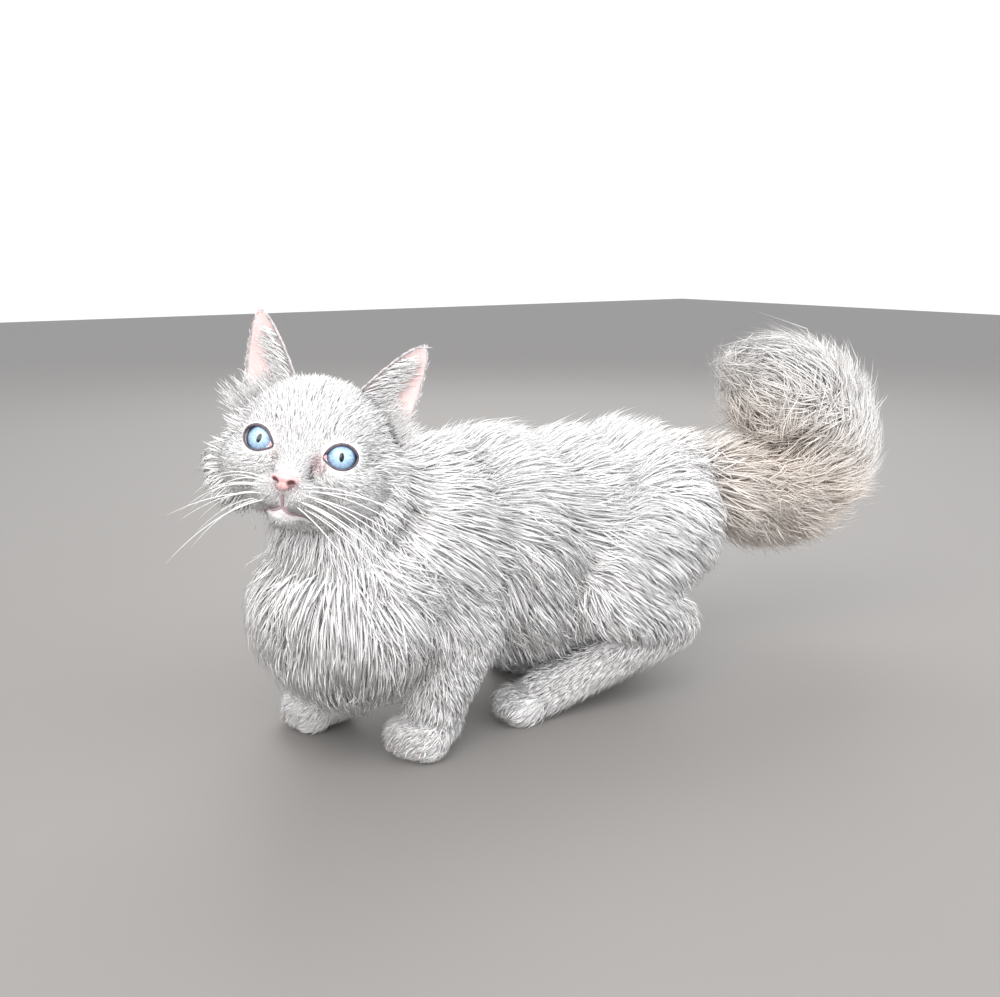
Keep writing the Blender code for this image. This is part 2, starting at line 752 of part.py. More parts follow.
def build():
    clear_scene()
    white = finish("white_coat", (0.86, 0.85, 0.83), 0.85)
    cream = finish("cream_coat", (0.72, 0.62, 0.53), 0.85)
    ear_skin = finish("ear_skin", (0.82, 0.70, 0.70), 0.7)
    blue = finish("blue_eye", (0.35, 0.55, 0.75), 0.1)
    pink = finish("nose_leather", (0.78, 0.42, 0.42), 0.5)

    # Every part's core, uncut, with the function that grows its coat and what that needs.
    parts, whole = [], {}

    def add(core, colour, grow=None, *details, carve=()):
        core.data.materials.append(colour)
        whole[core.name] = copy_of(core)
        parts.append((core, grow, details, carve))

    for side in (1, -1):
        add(make_eye(side), blue)
    add(make_nose(), pink)
    for side in (1, -1):
        add(make_ear(side), ear_skin)
    head = head_core()
    add(head, white, head_coat, carve=mouth_groove(head) + [eye_opening(1), eye_opening(-1)])
    add(make_paw("forepaw_left", *LEFT_FOREPAW), white)
    add(make_paw("forepaw_right", *RIGHT_FOREPAW), white)
    add(make_hindfoot("hindfoot_left", *LEFT_HINDFOOT), white)
    add(make_hindfoot("hindfoot_right", *RIGHT_HINDFOOT), white)
    add(trunk_core(), white, trunk_coat)
    add(neck_core(), white, neck_coat)
    for name, joints in (("foreleg_left", LEFT_FORELEG), ("foreleg_right", RIGHT_FORELEG)):
        add(foreleg_core(name, joints), white, foreleg_coat, joints)
    for name, joints in (("thigh_left", LEFT_THIGH), ("thigh_right", RIGHT_THIGH)):
        add(thigh_core(name, joints), white, thigh_coat, joints)
    for name, first, last in (("tail_base", 0, 2), ("tail_middle", 2, 4), ("tail_end", 4, 6)):
        add(tail_core(name, first, last), cream, tail_coat, first, last)

    # In that order each is dressed and cut back from all before it, set a little differently each time and
    # with fewer locks where it is crowded, until its surface is sound and clear of theirs.
    settled = []
    for number, (core, grow, details, carve) in enumerate(parts):
        undressed, crowded = core.data.copy(), []
        for attempt in range(14):
            core.data = undressed.copy()
            dice = random.Random(SEED * 1000 + number * 20 + attempt)
            locks = grow(core, whole, dice, *details) if grow else []
            locks = [one for one in locks if not lies_near(one.args[0], crowded, one.args[1])]
            if locks and not combine(core, [make() for make in locks], "UNION", "MANIFOLD"):
                continue
            if not cut_back(core, settled, GAP + 0.015 * attempt, carve):
                continue
            found = crossings(core, [done for done, *_ in parts[:number]])
            if not found:
                break
            crowded += found if attempt > 3 else []
        settled += [partial(copy_of, whole[core.name])] + locks
        for one in carve:
            bpy.data.objects.remove(one)

    for thing in whole.values():
        bpy.data.objects.remove(thing)
    for part, *_ in parts:
        part.data.transform(Matrix.Scale(MM, 4) @ Matrix.Translation(-CENTRE))
        part.data.shade_smooth()
        part.data.set_sharp_from_angle(angle=math.radians(50))


build()
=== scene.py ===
"""A long-haired munchkin kitten over its solids: skin, eyes, nose, ears, claws, whiskers and coat.

Shapes are worked out in millimetres in the kitten's own frame, which faces -Y with its left side at
+X, and are moved to the model's frame at the end.
"""

import math
from itertools import product

import bmesh
import bpy
import numpy as np
from bpy.props import FloatProperty, FloatVectorProperty, PointerProperty
from bpy.types import Operator, Panel, PropertyGroup
from mathutils import Matrix, Vector
from mathutils.bvhtree import BVHTree


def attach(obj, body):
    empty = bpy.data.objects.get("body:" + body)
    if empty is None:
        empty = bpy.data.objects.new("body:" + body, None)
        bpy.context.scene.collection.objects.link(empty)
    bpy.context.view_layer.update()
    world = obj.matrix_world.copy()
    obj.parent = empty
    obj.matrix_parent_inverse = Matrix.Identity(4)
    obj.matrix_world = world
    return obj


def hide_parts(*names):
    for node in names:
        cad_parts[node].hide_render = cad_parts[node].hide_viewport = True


bl_info = {
    "name": "Munchkin Kitten",
    "version": (1, 0, 0),
    "blender": (4, 5, 0),
    "location": "3D View > Sidebar > Kitten",
    "description": "Skin, coat, eyes and whiskers of a life-size long-haired munchkin kitten",
    "category": "Object",
}

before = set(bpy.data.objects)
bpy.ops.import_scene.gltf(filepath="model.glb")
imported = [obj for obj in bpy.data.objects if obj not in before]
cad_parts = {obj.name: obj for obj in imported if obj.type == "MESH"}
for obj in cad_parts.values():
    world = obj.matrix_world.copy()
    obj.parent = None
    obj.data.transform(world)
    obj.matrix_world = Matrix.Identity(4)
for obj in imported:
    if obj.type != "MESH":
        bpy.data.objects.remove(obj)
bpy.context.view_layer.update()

MM = 0.001
SEED = 11
CENTRE = Vector((-0.85, 113.1, 0.0))         # where the origin of the model's frame is

# The body at its skin: centre and half sizes of each mass, in millimetres.
TRUNK = (
    ((2, -13, 66), (32, 26, 33)),
    ((-1, 20, 78), (34, 31, 39)),
    ((-4, 55, 76), (34, 37, 40)),
    ((-4, 78, 58), (31, 44, 27)),
    ((-4, 95, 73), (33, 38, 37)),
    ((-1, 135, 74), (32, 33, 36)),
    ((2, 156, 88), (20, 18, 19)),
)
NECK = (((-2, -2, 103), (22, 21, 20)), ((2, -17, 98), (22, 19, 22)))

# The head in its own frame: -Y is forward, +X its left.
HEAD_PLACE, HEAD_SIZE = Vector((8.0, -29.8, 128.3)), 0.97
HEAD_TURN, HEAD_RAISE, HEAD_TILT = 52.0, 14.0, 12.5
CROWN = (((0, 5, 6), (26, 26, 22)), ((0, -6, 8), (21, 14, 14)))
BROWS = (((13, -9, 8), (9, 8, 7)),)
JAW = (((0, -6, -17), (18, 16, 11)), ((0, -13.5, 6), (8, 8, 7)))
CHEEKS = (((15, -7, -9), (15, 14, 11)),)
MUZZLE = (
    ((0, -18.5, -1), (6.5, 7, 6.5)),
    ((0, -23.5, -8), (5.5, 5.8, 5.6)),
    ((0, -18.5, -24.5), (6.2, 7.5, 5)),
)
WHISKER_PADS = (((5.4, -21.5, -17), (7.4, 8, 5.6)),)
CHEEK_FUR = (((24, 5, -12), (12, 7, 11)), ((23, 5, 1), (8, 7, 9)))
EYE_PLACE, EYE_RADIUS = Vector((14.8, -13.2, 1.0)), 8.0
LID = 1.5
EYE_OPENING = (5.9, 4.6)                     # half width and half height between the lids
EYE_SLANT, EYE_TURN = 9, 16                  # degrees that an eye slants up and looks outwards
EYE_NARROWING = 0.12                         # how much flatter the opening gets towards its corners
CORNEA, CORNEA_REACH = 1.1, 6.6              # how far an eyeball bulges in front, and how wide
GAZE_AT, GAZE_SHARE = Vector((384, -204, 215)), 0.42     # where the eyes look, and how far they turn
NOSE = (((0, -30.4, -11.2), (5.3, 3.2, 2.2)), ((0, -30.8, -13.4), (2.2, 2.4, 2.2)))
NOSTRIL, NOSTRIL_DEPTH = (2.9, -33.2, -12.3), 1.8
MOUTH = ((0, -17.4), (0, -21.8), (3.0, -23.5), (7.0, -23.9), (11.0, -26.4))
EAR_INNER, EAR_OUTER, EAR_TIP = Vector((10.5, 0, 24)), Vector((33, 9, 6)), Vector((34.5, 3, 51))
EAR_CUP, EAR_WALL = 8.5, 1.5
EAR_GRID = (36, 30)                          # columns and rows of an ear's mesh
EAR_MAP, EAR_MAP_PLACE = (0.23, 0.95), (0.25, 0.02)      # size and place of the front on the map
EAR_MAP_BACK = 0.5                           # how far across the map its back lies

# Limb joints: centre and radius at the skin.
FORELEGS = (
    (((19, 14, 76), 12), ((26, 26, 47), 12.5), ((25, 15, 24), 10)),
    (((-20, 9, 74), 13), ((-26, 15, 47), 12.5), ((-26, -5, 24), 10)),
)
FOREPAWS = (((23.6, 10, 9), 22), ((-26.6, -14, 9), -4))
THIGHS = (
    (((24, 138, 78), 24), ((33, 100, 56), 17), ((38, 134, 38), 9)),
    (((-26, 142, 78), 24), ((-35, 122, 54), 17), ((-34, 160, 30), 9)),
)
HINDFEET = (
    (((38, 136, 34), 9.5), ((23, 72, 10.5), 8.5), -13),
    (((-34, 161, 12), 9), ((-31, 106, 10.5), 8.5), 4),
)
TAIL = (
    ((2, 162, 95), 8, 20),
    ((8, 193, 88), 7.5, 23),
    ((13, 222, 81), 7, 27),
    ((16, 247, 85), 6.5, 31),
    ((17, 260, 104), 6, 33),
    ((13, 250, 122), 5.5, 33),
    ((8, 233, 133), 4.5, 27),
)

# Each zone's coat: how deep it stands off the skin, how long its hair is, and how wide a tuft is.
COAT = {
    "trunk": (18.0, 40.0, 1.15),
    "neck": (14.0, 32.0, 1.05),
    "crown": (4.0, 9.0, 0.72),
    "face": (2.6, 6.0, 0.55),
    "muzzle": (1.2, 3.2, 0.42),
    "cheek": (14.0, 24.0, 0.95),
    "foreleg": (6.0, 15.0, 0.95),
    "forepaw": (3.2, 7.5, 0.72),
    "thigh": (10.5, 26.0, 1.1),
    "shank": (6.5, 17.0, 0.95),
    "hindfoot": (4.4, 10.5, 0.78),
    "tail": (30.0, 46.0, 1.15),
}
ZONES = tuple(COAT)
BLEND = 4.5                     # how softly one zone's coat passes into the next
RINGS = {                       # along a tuft: share of its length, share of its width
    3: ((0.0, 0.6), (0.36, 1.0), (0.72, 0.55)),
    2: ((0.0, 0.7), (0.5, 0.85)),
}
ROOT = 0.9                      # how deep in the skin a tuft starts
FLATNESS = 0.27                 # height of a tuft's ridge as a share of its width
PATCH = 0.003                   # size of a tuft on the map for baking
FLOOR_GAP = 0.4                 # no hair reaches lower than this
STRAYS = 0.1                    # share of the tufts that stand out from the rest
EAR_FUR, EAR_HAIR = 3600, 560   # tufts behind an ear, and long ones inside it

TOES = 4
TOE_ARC = 0.9                   # how much further back each toe stands, out from the middle
FOREPAW_TOES, HINDFOOT_TOES = 5.6, 5.0       # from toe to toe

WHISKER_ROWS, WHISKER_COLUMNS, BROW_WHISKERS = 4, 3, 3

# Name, place, watts, size and colour of each light.
LIGHTS = (
    ("key", (0.55, -0.75, 0.85), 15.0, 1.2, (1.0, 0.98, 0.96)),
    ("fill", (0.75, 0.45, 0.55), 6.0, 1.0, (0.95, 0.97, 1.0)),
    ("back", (-0.7, 0.5, 0.8), 7.5, 0.9, (1.0, 0.99, 0.97)),
)
LIT_POINT = Vector((0.0, 0.0, 0.08))
SKY, SKY_STRENGTH = (0.91, 0.92, 0.94, 1.0), 1.15
FLOOR_WIDTH = 6.0
CAMERA_PLACE = (384.27, -204.37, 205.0)      # in the kitten's millimetres
CAMERA_ANGLES = (math.radians(77.0), 0.0, math.radians(55.0))
LENS, SENSOR = 38.88, 36.0


def share(name, text, default):
    """A share that a user may change."""
    return FloatProperty(name=name, description=text, default=default, subtype="FACTOR")


def length(name, text, default):
    """A length in metres that a user may change."""
    return FloatProperty(name=name, description=text, default=default, unit="LENGTH")


def tint(name, text, default):
    """A colour that a user may change."""
    return FloatVectorProperty(
        name=name, description=text, default=default, size=3, min=0.0, max=1.0, subtype="COLOR"
    )


class KittenSizes(PropertyGroup):
    """Sizes that change the kitten's looks."""

    coat_share: share("Coat", "Depth of the coat as a share of the kitten's own", 1.0)
    tuft_share: share("Tufts", "Width of the tufts as a share of the usual", 1.0)
    clumping: share("Clumping", "How much tufts gather in pointed locks", 0.45)
    whisker_length: length("Whiskers", "Length of the longest whiskers", 0.062)
    whisker_width: length("Whisker width", "Width of a whisker at its root", 0.00052)
    claw_length: length("Claws", "Length of a claw", 0.0034)


class KittenColours(PropertyGroup):
    """Colours of coat, skin, eyes and floor."""

    white_tip: tint("White tips", "Coat at the tips of the hair", (0.97, 0.965, 0.96))
    # Roots darker than tips: partly undercoat, partly painted shade between the tufts.
    white_undercoat_and_shade: tint("White roots", "Coat at the roots of the hair", (0.94, 0.93, 0.935))
    cream_tip: tint("Cream tips", "Tail at the tips of the hair", (0.85, 0.765, 0.69))
    cream_undercoat_and_shade: tint("Cream roots", "Tail at the roots of the hair", (0.60, 0.465, 0.37))
    grey_tip: tint("Grey", "The lilac grey of the ears", (0.74, 0.69, 0.705))
    ear_pink: tint("Ear", "Skin inside the ears", (0.80, 0.63, 0.635))
    nose_pink: tint("Nose", "Leather of the nose", (0.80, 0.41, 0.43))
    lip: tint("Lips", "Line of the mouth", (0.34, 0.26, 0.29))
    lid: tint("Lids", "Rims of the lids", (0.065, 0.048, 0.066))
    iris_light: tint("Iris", "Iris near the pupil", (0.40, 0.58, 0.76))
    iris_dark: tint("Iris edge", "Iris near its edge", (0.12, 0.25, 0.44))
    claw: tint("Claws", "Horn of the claws", (0.86, 0.76, 0.70))
    floor: tint("Floor", "The floor", (0.235, 0.225, 0.217))


# ---- frames and masses

def head_matrix():
    """From the head's own frame to the kitten's."""
    return (
        Matrix.Translation(HEAD_PLACE)
        @ Matrix.Rotation(math.radians(HEAD_TURN), 4, "Z")
        @ Matrix.Rotation(math.radians(-HEAD_RAISE), 4, "X")
        @ Matrix.Rotation(math.radians(HEAD_TILT), 4, "Y")
        @ Matrix.Scale(HEAD_SIZE, 4)
    )


def mirrored(place, side):
    """A place on the left, or for a side of -1 its mirror image on the right."""
    x, y, z = place
    return side * x, y, z


HEAD = head_matrix()
HEAD_TURNED = HEAD.to_3x3().normalized()
HEAD_BACK = (HEAD.to_3x3() @ Vector((0, 1, 0))).normalized()


def eye_matrix(side):
    """From the frame of an eye, which looks along -Y, to the kitten's."""
    slant = Matrix.Rotation(math.radians(side * -EYE_SLANT), 4, "Y")
    turn = Matrix.Rotation(math.radians(side * EYE_TURN), 4, "Z")
    return HEAD @ Matrix.Translation(mirrored(EYE_PLACE, side)) @ (slant @ turn)


def to_model(points):
    """Millimetres of the kitten's frame to metres of the model's."""
    return (np.asarray(points, float) - np.array(CENTRE)) * MM


def place_in(matrix, points):
    """Points moved by a matrix."""
    points = np.asarray(points, float)
    return points @ np.array(matrix.to_3x3()).T + np.array(matrix.translation)


def in_head(masses, zone):
    """Masses given in the head's frame, as masses of the body."""
    axes = np.array(HEAD_TURNED)
    return [
        (HEAD @ Vector(centre), tuple(HEAD_SIZE * r for r in radii), axes, zone)
        for centre, radii in masses
    ]


def both_sides(masses):
    return [(mirrored(centre, side), radii) for centre, radii in masses for side in (1, -1)]


def limb(joints, zone):
    """Balls strung closely between joints, each joint a centre and a radius."""
    made = []
    for (start, r0), (end, r1) in zip(joints, joints[1:]):
        start, end = Vector(start), Vector(end)
        steps = max(2, round((end - start).length / 4.0))
        for step in range(steps + 1):
            t = step / steps
            made.append((start.lerp(end, t), (r0 + (r1 - r0) * t,) * 3, np.eye(3), zone))
    return made


def toe_places(spacing, ahead, drop):
    """Where the toes of a foot stand, from its ball."""
    outs = [toe - (TOES - 1) / 2 for toe in range(TOES)]
    return [Vector((out * spacing, ahead + TOE_ARC * out**2, drop)) for out in outs]


def toes(place, turn, spacing, ahead, size, drop, zone):
    return [
        (place + turn @ toe, size, np.array(turn), zone) for toe in toe_places(spacing, ahead, drop)
    ]


def body_masses():
    """Every mass of the body at its skin: centre, half sizes, axes and the zone of its coat."""
    made = [(Vector(c), r, np.eye(3), "trunk") for c, r in TRUNK]
    made += [(Vector(c), r, np.eye(3), "neck") for c, r in NECK]
    made += in_head(CROWN, "crown") + in_head(both_sides(BROWS), "crown")
    made += in_head(JAW, "face") + in_head(both_sides(CHEEKS), "face")
    lid = (EYE_RADIUS + LID - 0.4,) * 3
    made += in_head(both_sides([(EYE_PLACE, lid)]), "face")
    made += in_head(MUZZLE, "muzzle") + in_head(both_sides(WHISKER_PADS), "muzzle")
    made += in_head(both_sides(CHEEK_FUR), "cheek")
    for joints in FORELEGS:
        made += limb(joints, "foreleg")
    for place, yaw in FOREPAWS:
        turn = Matrix.Rotation(math.radians(yaw), 3, "Z")
        place = Vector(place)
        made.append((place + turn @ Vector((0, 4, 2)), (10.5, 12, 10), np.array(turn), "forepaw"))
        made += toes(place, turn, FOREPAW_TOES, -8.0, (3.6, 7.0, 6.2), -1.5, "forepaw")
    for joints in THIGHS:
        made += limb(joints[:2], "thigh") + limb(joints[1:], "shank")
    for heel, ball, yaw in HINDFEET:
        turn = Matrix.Rotation(math.radians(yaw), 3, "Z")
        made += limb((heel, ball), "hindfoot")
        made += toes(Vector(ball[0]), turn, HINDFOOT_TOES, -13.0, (3.4, 8.0, 5.8), -4.0, "hindfoot")
    made += limb([(c, r) for c, r, _ in TAIL], "tail")
    return made


MASSES = body_masses()


def zone_distances(points):
    """Roughly how far each point is from each zone's masses."""
    found = np.full((len(points), len(ZONES)), 1e3)
    for centre, radii, axes, zone in MASSES:
        away = (points - np.array(centre)) @ axes
        share = np.linalg.norm(away / np.array(radii), axis=1)
        gap = np.linalg.norm(away, axis=1) * (1 - 1 / np.maximum(share, 1e-6))
        column = ZONES.index(zone)
        found[:, column] = np.minimum(found[:, column], gap)
    return found


def zone_weights(points):
    """The share of each zone in the coat at each point."""
    gaps = zone_distances(points)
    weights = np.exp(-(gaps - gaps.min(axis=1, keepdims=True)) / BLEND)
    return weights / weights.sum(axis=1, keepdims=True)


# ---- meshes

def deselect():
    for thing in bpy.context.selected_objects:
        thing.select_set(False)


def activate(thing):
    deselect()
    thing.select_set(True)
    bpy.context.view_layer.objects.active = thing


def object_of(name, points, faces):
    """A mesh object from points in the kitten's millimetres."""
    mesh = bpy.data.meshes.new(name)
    mesh.from_pydata([tuple(p) for p in points], [], [tuple(f) for f in faces])
    made = bpy.data.objects.new(name, mesh)
    bpy.context.scene.collection.objects.link(made)
    mesh.shade_smooth()
    return made


def points_of(mesh):
    """The points of a mesh as an array."""
    points = np.empty(len(mesh.vertices) * 3)
    mesh.vertices.foreach_get("co", points)
    return points.reshape(-1, 3)


def store(mesh, name, values):
    """Keeps three numbers at each point of a mesh, for its material."""
    layer = mesh.attributes.new(name, "FLOAT_VECTOR", "POINT")
    layer.data.foreach_set("vector", values.ravel().astype(np.float32))


def lay_map(mesh, spots):
    """Gives a mesh its map for baking, with a spot for each corner of its faces."""
    layer = mesh.uv_layers.new(name="OFBake")
    layer.uv.foreach_set("vector", spots.ravel().astype(np.float32))


def modify(thing, kind, **values):
    """Changes a piece by a modifier."""
    activate(thing)
    bpy.ops.object.modifier_add(type=kind)
    change = thing.modifiers[-1]
    for key, value in values.items():
        setattr(change, key, value)
    bpy.ops.object.modifier_apply(modifier=change.name)


def unit_ball():
    """Corners and faces of a round ball of radius one."""
    deselect()
    bpy.ops.mesh.primitive_ico_sphere_add(subdivisions=4, radius=1.0)
    ball = bpy.context.active_object
    points = points_of(ball.data)
    faces = np.array([f.vertices for f in ball.data.polygons])
    bpy.data.objects.remove(ball)
    return points, faces


def clay(name, masses, voxel, passes):
    """Masses pressed into one smooth body."""
    points, faces = unit_ball()
    all_points, all_faces = [], []
    for number, (centre, radii, axes, _) in enumerate(masses):
        all_points.append((points * np.array(radii)) @ np.asarray(axes).T + np.array(centre))
        all_faces.append(faces + number * len(points))
    made = object_of(name, np.concatenate(all_points), np.concatenate(all_faces))
    modify(made, "REMESH", mode="VOXEL", voxel_size=voxel)
    modify(made, "SMOOTH", factor=0.5, iterations=passes)
    return made


def cut(thing, cutter):
    """Takes a cutter out of a piece and removes it."""
    modify(thing, "BOOLEAN", object=cutter, operation="DIFFERENCE", solver="EXACT")
    bpy.data.objects.remove(cutter)


def settle(piece, material, slot, *nodes):
    """Moves a finished piece to the model's frame, gives it its finish and ties it to the body."""
    mesh = piece.data
    mesh.vertices.foreach_set("co", to_model(points_of(mesh)).ravel())
    mesh.update()
    mesh.materials.clear()
    mesh.materials.append(material)
    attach(piece, "root")
    if nodes:
        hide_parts(*nodes)


def tube_arrays(points, radii, sides):
    """Points and faces of a closed tube along a line."""
    points = np.asarray(points, float)
    ahead = np.gradient(points, axis=0)
    ahead /= np.linalg.norm(ahead, axis=1, keepdims=True)
    across = np.cross(ahead, (0.31, 0.2, 0.93))
    across /= np.linalg.norm(across, axis=1, keepdims=True)
    up = np.cross(across, ahead)
    rings = []
    for k in range(sides):
        angle = math.tau * k / sides
        out = across * math.cos(angle) + up * math.sin(angle)
        rings.append(points + out * np.asarray(radii)[:, None])
    count = len(points)
    corners = np.stack(rings, axis=1).reshape(-1, 3)
    faces = []
    for start in range(0, (count - 1) * sides, sides):
        for k in range(start, start + sides):
            n = start + (k + 1 - start) % sides
            faces.append((k, n, n + sides, k + sides))
    faces.append(tuple(range(sides))[::-1])
    faces.append(tuple((count - 1) * sides + k for k in range(sides)))
    return corners, faces


def tubes(name, lines, sides):
    """One mesh of several tubes, each a line of points and its radii."""
    points, faces, start = [], [], 0
    for line, radii in lines:
        corners, ring = tube_arrays(line, radii, sides)
        points.append(corners)
        faces += [tuple(index + start for index in face) for face in ring]
        start += len(corners)
    made = object_of(name, np.concatenate(points), faces)
    point_outwards(made)
    return made


def point_outwards(piece):
    """Turns all faces of a piece to the outside."""
    shape = bmesh.new()
    shape.from_mesh(piece.data)
    bmesh.ops.recalc_face_normals(shape, faces=shape.faces)
    shape.to_mesh(piece.data)
    shape.free()


def curved(points, samples):
    """A smooth line through a few points."""
    points = np.asarray(points, float)
    times = np.linspace(0, len(points) - 1, samples)
    padded = np.concatenate([[2 * points[0] - points[1]], points, [2 * points[-1] - points[-2]]])
    made = []
    for time in times:
        k = min(int(time), len(points) - 2)
        t = time - k
        a, b, c, d = padded[k : k + 4]
        square, cube = 2 * a - 5 * b + 4 * c - d, 3 * b - a - 3 * c + d
        made.append(0.5 * (2 * b + (c - a) * t + square * t**2 + cube * t**3))
    return np.array(made)


# ---- materials

class Finish:
    """A material's nodes, built one after another."""

    def __init__(self, name, roughness, **sockets):
        self.material = bpy.data.materials.new(name)
        self.material.use_nodes = True
        self.tree = self.material.node_tree
        self.shader = self.tree.nodes["Principled BSDF"]
        self.shader.inputs["Roughness"].default_value = roughness
        for socket, value in sockets.items():
            self.shader.inputs[socket.replace("_", " ")].default_value = value

    def node(self, kind, *values, **settings):
        """A new node, with its first inputs set to numbers or colours or linked to other nodes."""
        made = self.tree.nodes.new("ShaderNode" + kind)
        for key, value in settings.items():
            setattr(made, key, value)
        for socket, value in zip(made.inputs, values):
            self.feed(socket, value)
        return made

    def feed(self, socket, value):
        if isinstance(value, bpy.types.NodeSocket):
            self.tree.links.new(value, socket)
        else:
            socket.default_value = value

    def place(self):
        return self.node("TexCoord").outputs["Object"]

    def attribute(self, name):
        """The three numbers kept at each point of the mesh."""
        return self.split(self.node("Attribute", attribute_name=name).outputs["Vector"])

    def split(self, vector):
        return self.node("SeparateXYZ", vector).outputs

    def join(self, *parts):
        return self.node("CombineXYZ", *parts).outputs[0]

    def maths(self, operation, first, second=0.0):
        return self.node("Math", first, second, operation=operation).outputs[0]

    def times(self, first, second):
        return self.maths("MULTIPLY", first, second)

    def length(self, x, z):
        """How far a point of a plane is from its middle."""
        return self.maths("POWER", self.maths("ADD", self.times(x, x), self.times(z, z)), 0.5)

    def noise(self, vector, scale, detail=3.0, roughness=0.5):
        made = self.node("TexNoise", vector)
        for name, value in (("Scale", scale), ("Detail", detail), ("Roughness", roughness)):
            made.inputs[name].default_value = value
        return made.outputs["Fac"]

    def spread(self, value, low, high, to_low=0.0, to_high=1.0):
        """A value stretched smoothly from one range to another."""
        ends = low, high, to_low, to_high
        return self.node("MapRange", value, *ends, interpolation_type="SMOOTHSTEP").outputs[0]

    def mix(self, share, first, second, blend="MIX"):
        made = self.node("Mix", share, data_type="RGBA", blend_type=blend)
        for socket, value in ((made.inputs[6], first), (made.inputs[7], second)):
            self.feed(socket, (*value, 1.0) if isinstance(value, tuple) else value)
        return made.outputs[2]

    def distance(self, vector, point):
        return self.node("VectorMath", vector, point, operation="DISTANCE").outputs["Value"]

    def colour(self, value):
        self.feed(self.shader.inputs["Base Color"], value)

    def bump(self, height, strength, distance):
        made = self.node("Bump")
        for name, value in (("Strength", strength), ("Distance", distance), ("Height", height)):
            self.feed(made.inputs[name], value)
        self.feed(self.shader.inputs["Normal"], made.outputs[0])


def mottled(name, roughness, scale, first, second, **sockets):
    """A finish that wanders between two colours."""
    made = Finish(name, roughness, **sockets)
    made.colour(made.mix(made.noise(made.place(), scale), first, second))
    return made.material


def shade(name):
    return tuple(getattr(bpy.context.scene.kitten_colours, name))


def size(name):
    return getattr(bpy.context.scene.kitten_sizes, name)


def point_of(local):
    """A point of the head's frame in the model's, as a plain tuple."""
    return tuple(to_model(HEAD @ Vector(local)))


CREAM_FROM, CREAM_TO = 0.034, 0.102          # along the model: where white ends and cream begins
BLUSHES = (                     # in the head's frame: where, how far in metres, how strong, colour
    ((0, -29, -12), 0.0065, 0.30, "nose_pink"),
    ((8.6, -20, -3.5), 0.0060, 0.34, "nose_pink"),
    ((-8.6, -20, -3.0), 0.0035, 0.16, "nose_pink"),
    ((0, -27.5, -20), 0.0030, 0.42, "lip"),
    ((2.5, -25.5, -23.3), 0.0036, 0.5, "lip"),
    ((-2.5, -25.5, -23.3), 0.0036, 0.5, "lip"),
    ((5.8, -24.5, -24.0), 0.0036, 0.5, "lip"),
    ((-5.8, -24.5, -24.0), 0.0036, 0.5, "lip"),
    ((9.0, -21.5, -25.2), 0.0038, 0.42, "lip"),
    ((-9.0, -21.5, -25.2), 0.0038, 0.42, "lip"),
)


def markings(made, along):
    """The colours that skin and coat share: white, a cream tail, and pink round nose and eyes.

    along is how far out on the hair a point is; towards the roots the colour darkens, partly the
    undercoat and partly painted shade between the tufts.
    """
    place = made.place()
    parts = made.split(place)
    blotch = made.noise(place, 28.0)
    # Darker towards the roots: partly undercoat, partly painted shade between the tufts.
    white = made.mix(along, shade("white_undercoat_and_shade"), shade("white_tip"))
    cream = made.mix(along, shade("cream_undercoat_and_shade"), shade("cream_tip"))
    ragged = made.times(made.maths("SUBTRACT", blotch, 0.5), 0.05)
    tail = made.spread(made.maths("ADD", parts["Y"], ragged), CREAM_FROM, CREAM_TO)
    colour = made.mix(tail, white, cream)
    outer = made.maths("ADD", parts["Z"], made.times(parts["Y"], 0.75))
    paleness = made.times(made.spread(outer, 0.178, 0.238, 0.0, 0.85), tail)
    colour = made.mix(paleness, colour, white)
    for spot, reach, strength, name in BLUSHES:
        away = made.distance(place, point_of(spot))
        near = made.spread(away, reach * 0.3, reach, strength, 0.0)
        colour = made.mix(near, colour, shade(name))
    return colour


def coat_finish():
    """The coat, with streaks along each tuft and some tufts a little darker than others."""
    made = Finish("coat", 0.65, Specular_IOR_Level=0.25, Sheen_Weight=0.3, Sheen_Roughness=0.5)
    across, along, chance = made.attribute("strand")
    # Darker towards the roots, partly undercoat and partly painted shade.
    colour = markings(made, made.spread(along, 0.0, 0.75))
    scales = ((across, 2.6), (along, 0.8), (chance, 40.0))
    strand = made.join(*(made.times(value, scale) for value, scale in scales))
    streaks = made.noise(strand, 2.4, 3.0, 0.65)
    darker = made.spread(streaks, 0.3, 0.7, 0.16, 0.0)
    colour = made.mix(darker, colour, (0.62, 0.60, 0.60), "MULTIPLY")
    darker = made.spread(chance, 0.0, 1.0, 0.12, 0.0)
    colour = made.mix(darker, colour, (0.72, 0.70, 0.71), "MULTIPLY")
    made.colour(colour)
    made.bump(streaks, 0.5, 0.0004)
    return made.material


def skin_finish():
    """The skin, in the coat's colours half way along the hair."""
    made = Finish("skin", 0.8, Specular_IOR_Level=0.2, Sheen_Weight=0.2)
    # Half way between the darker roots, which carry painted shade, and the tips.
    made.colour(markings(made, 0.45))
    made.bump(made.noise(made.place(), 900.0, 4.0, 0.6), 0.5, 0.0005)
    return made.material


# ---- the surface that the coat grows on

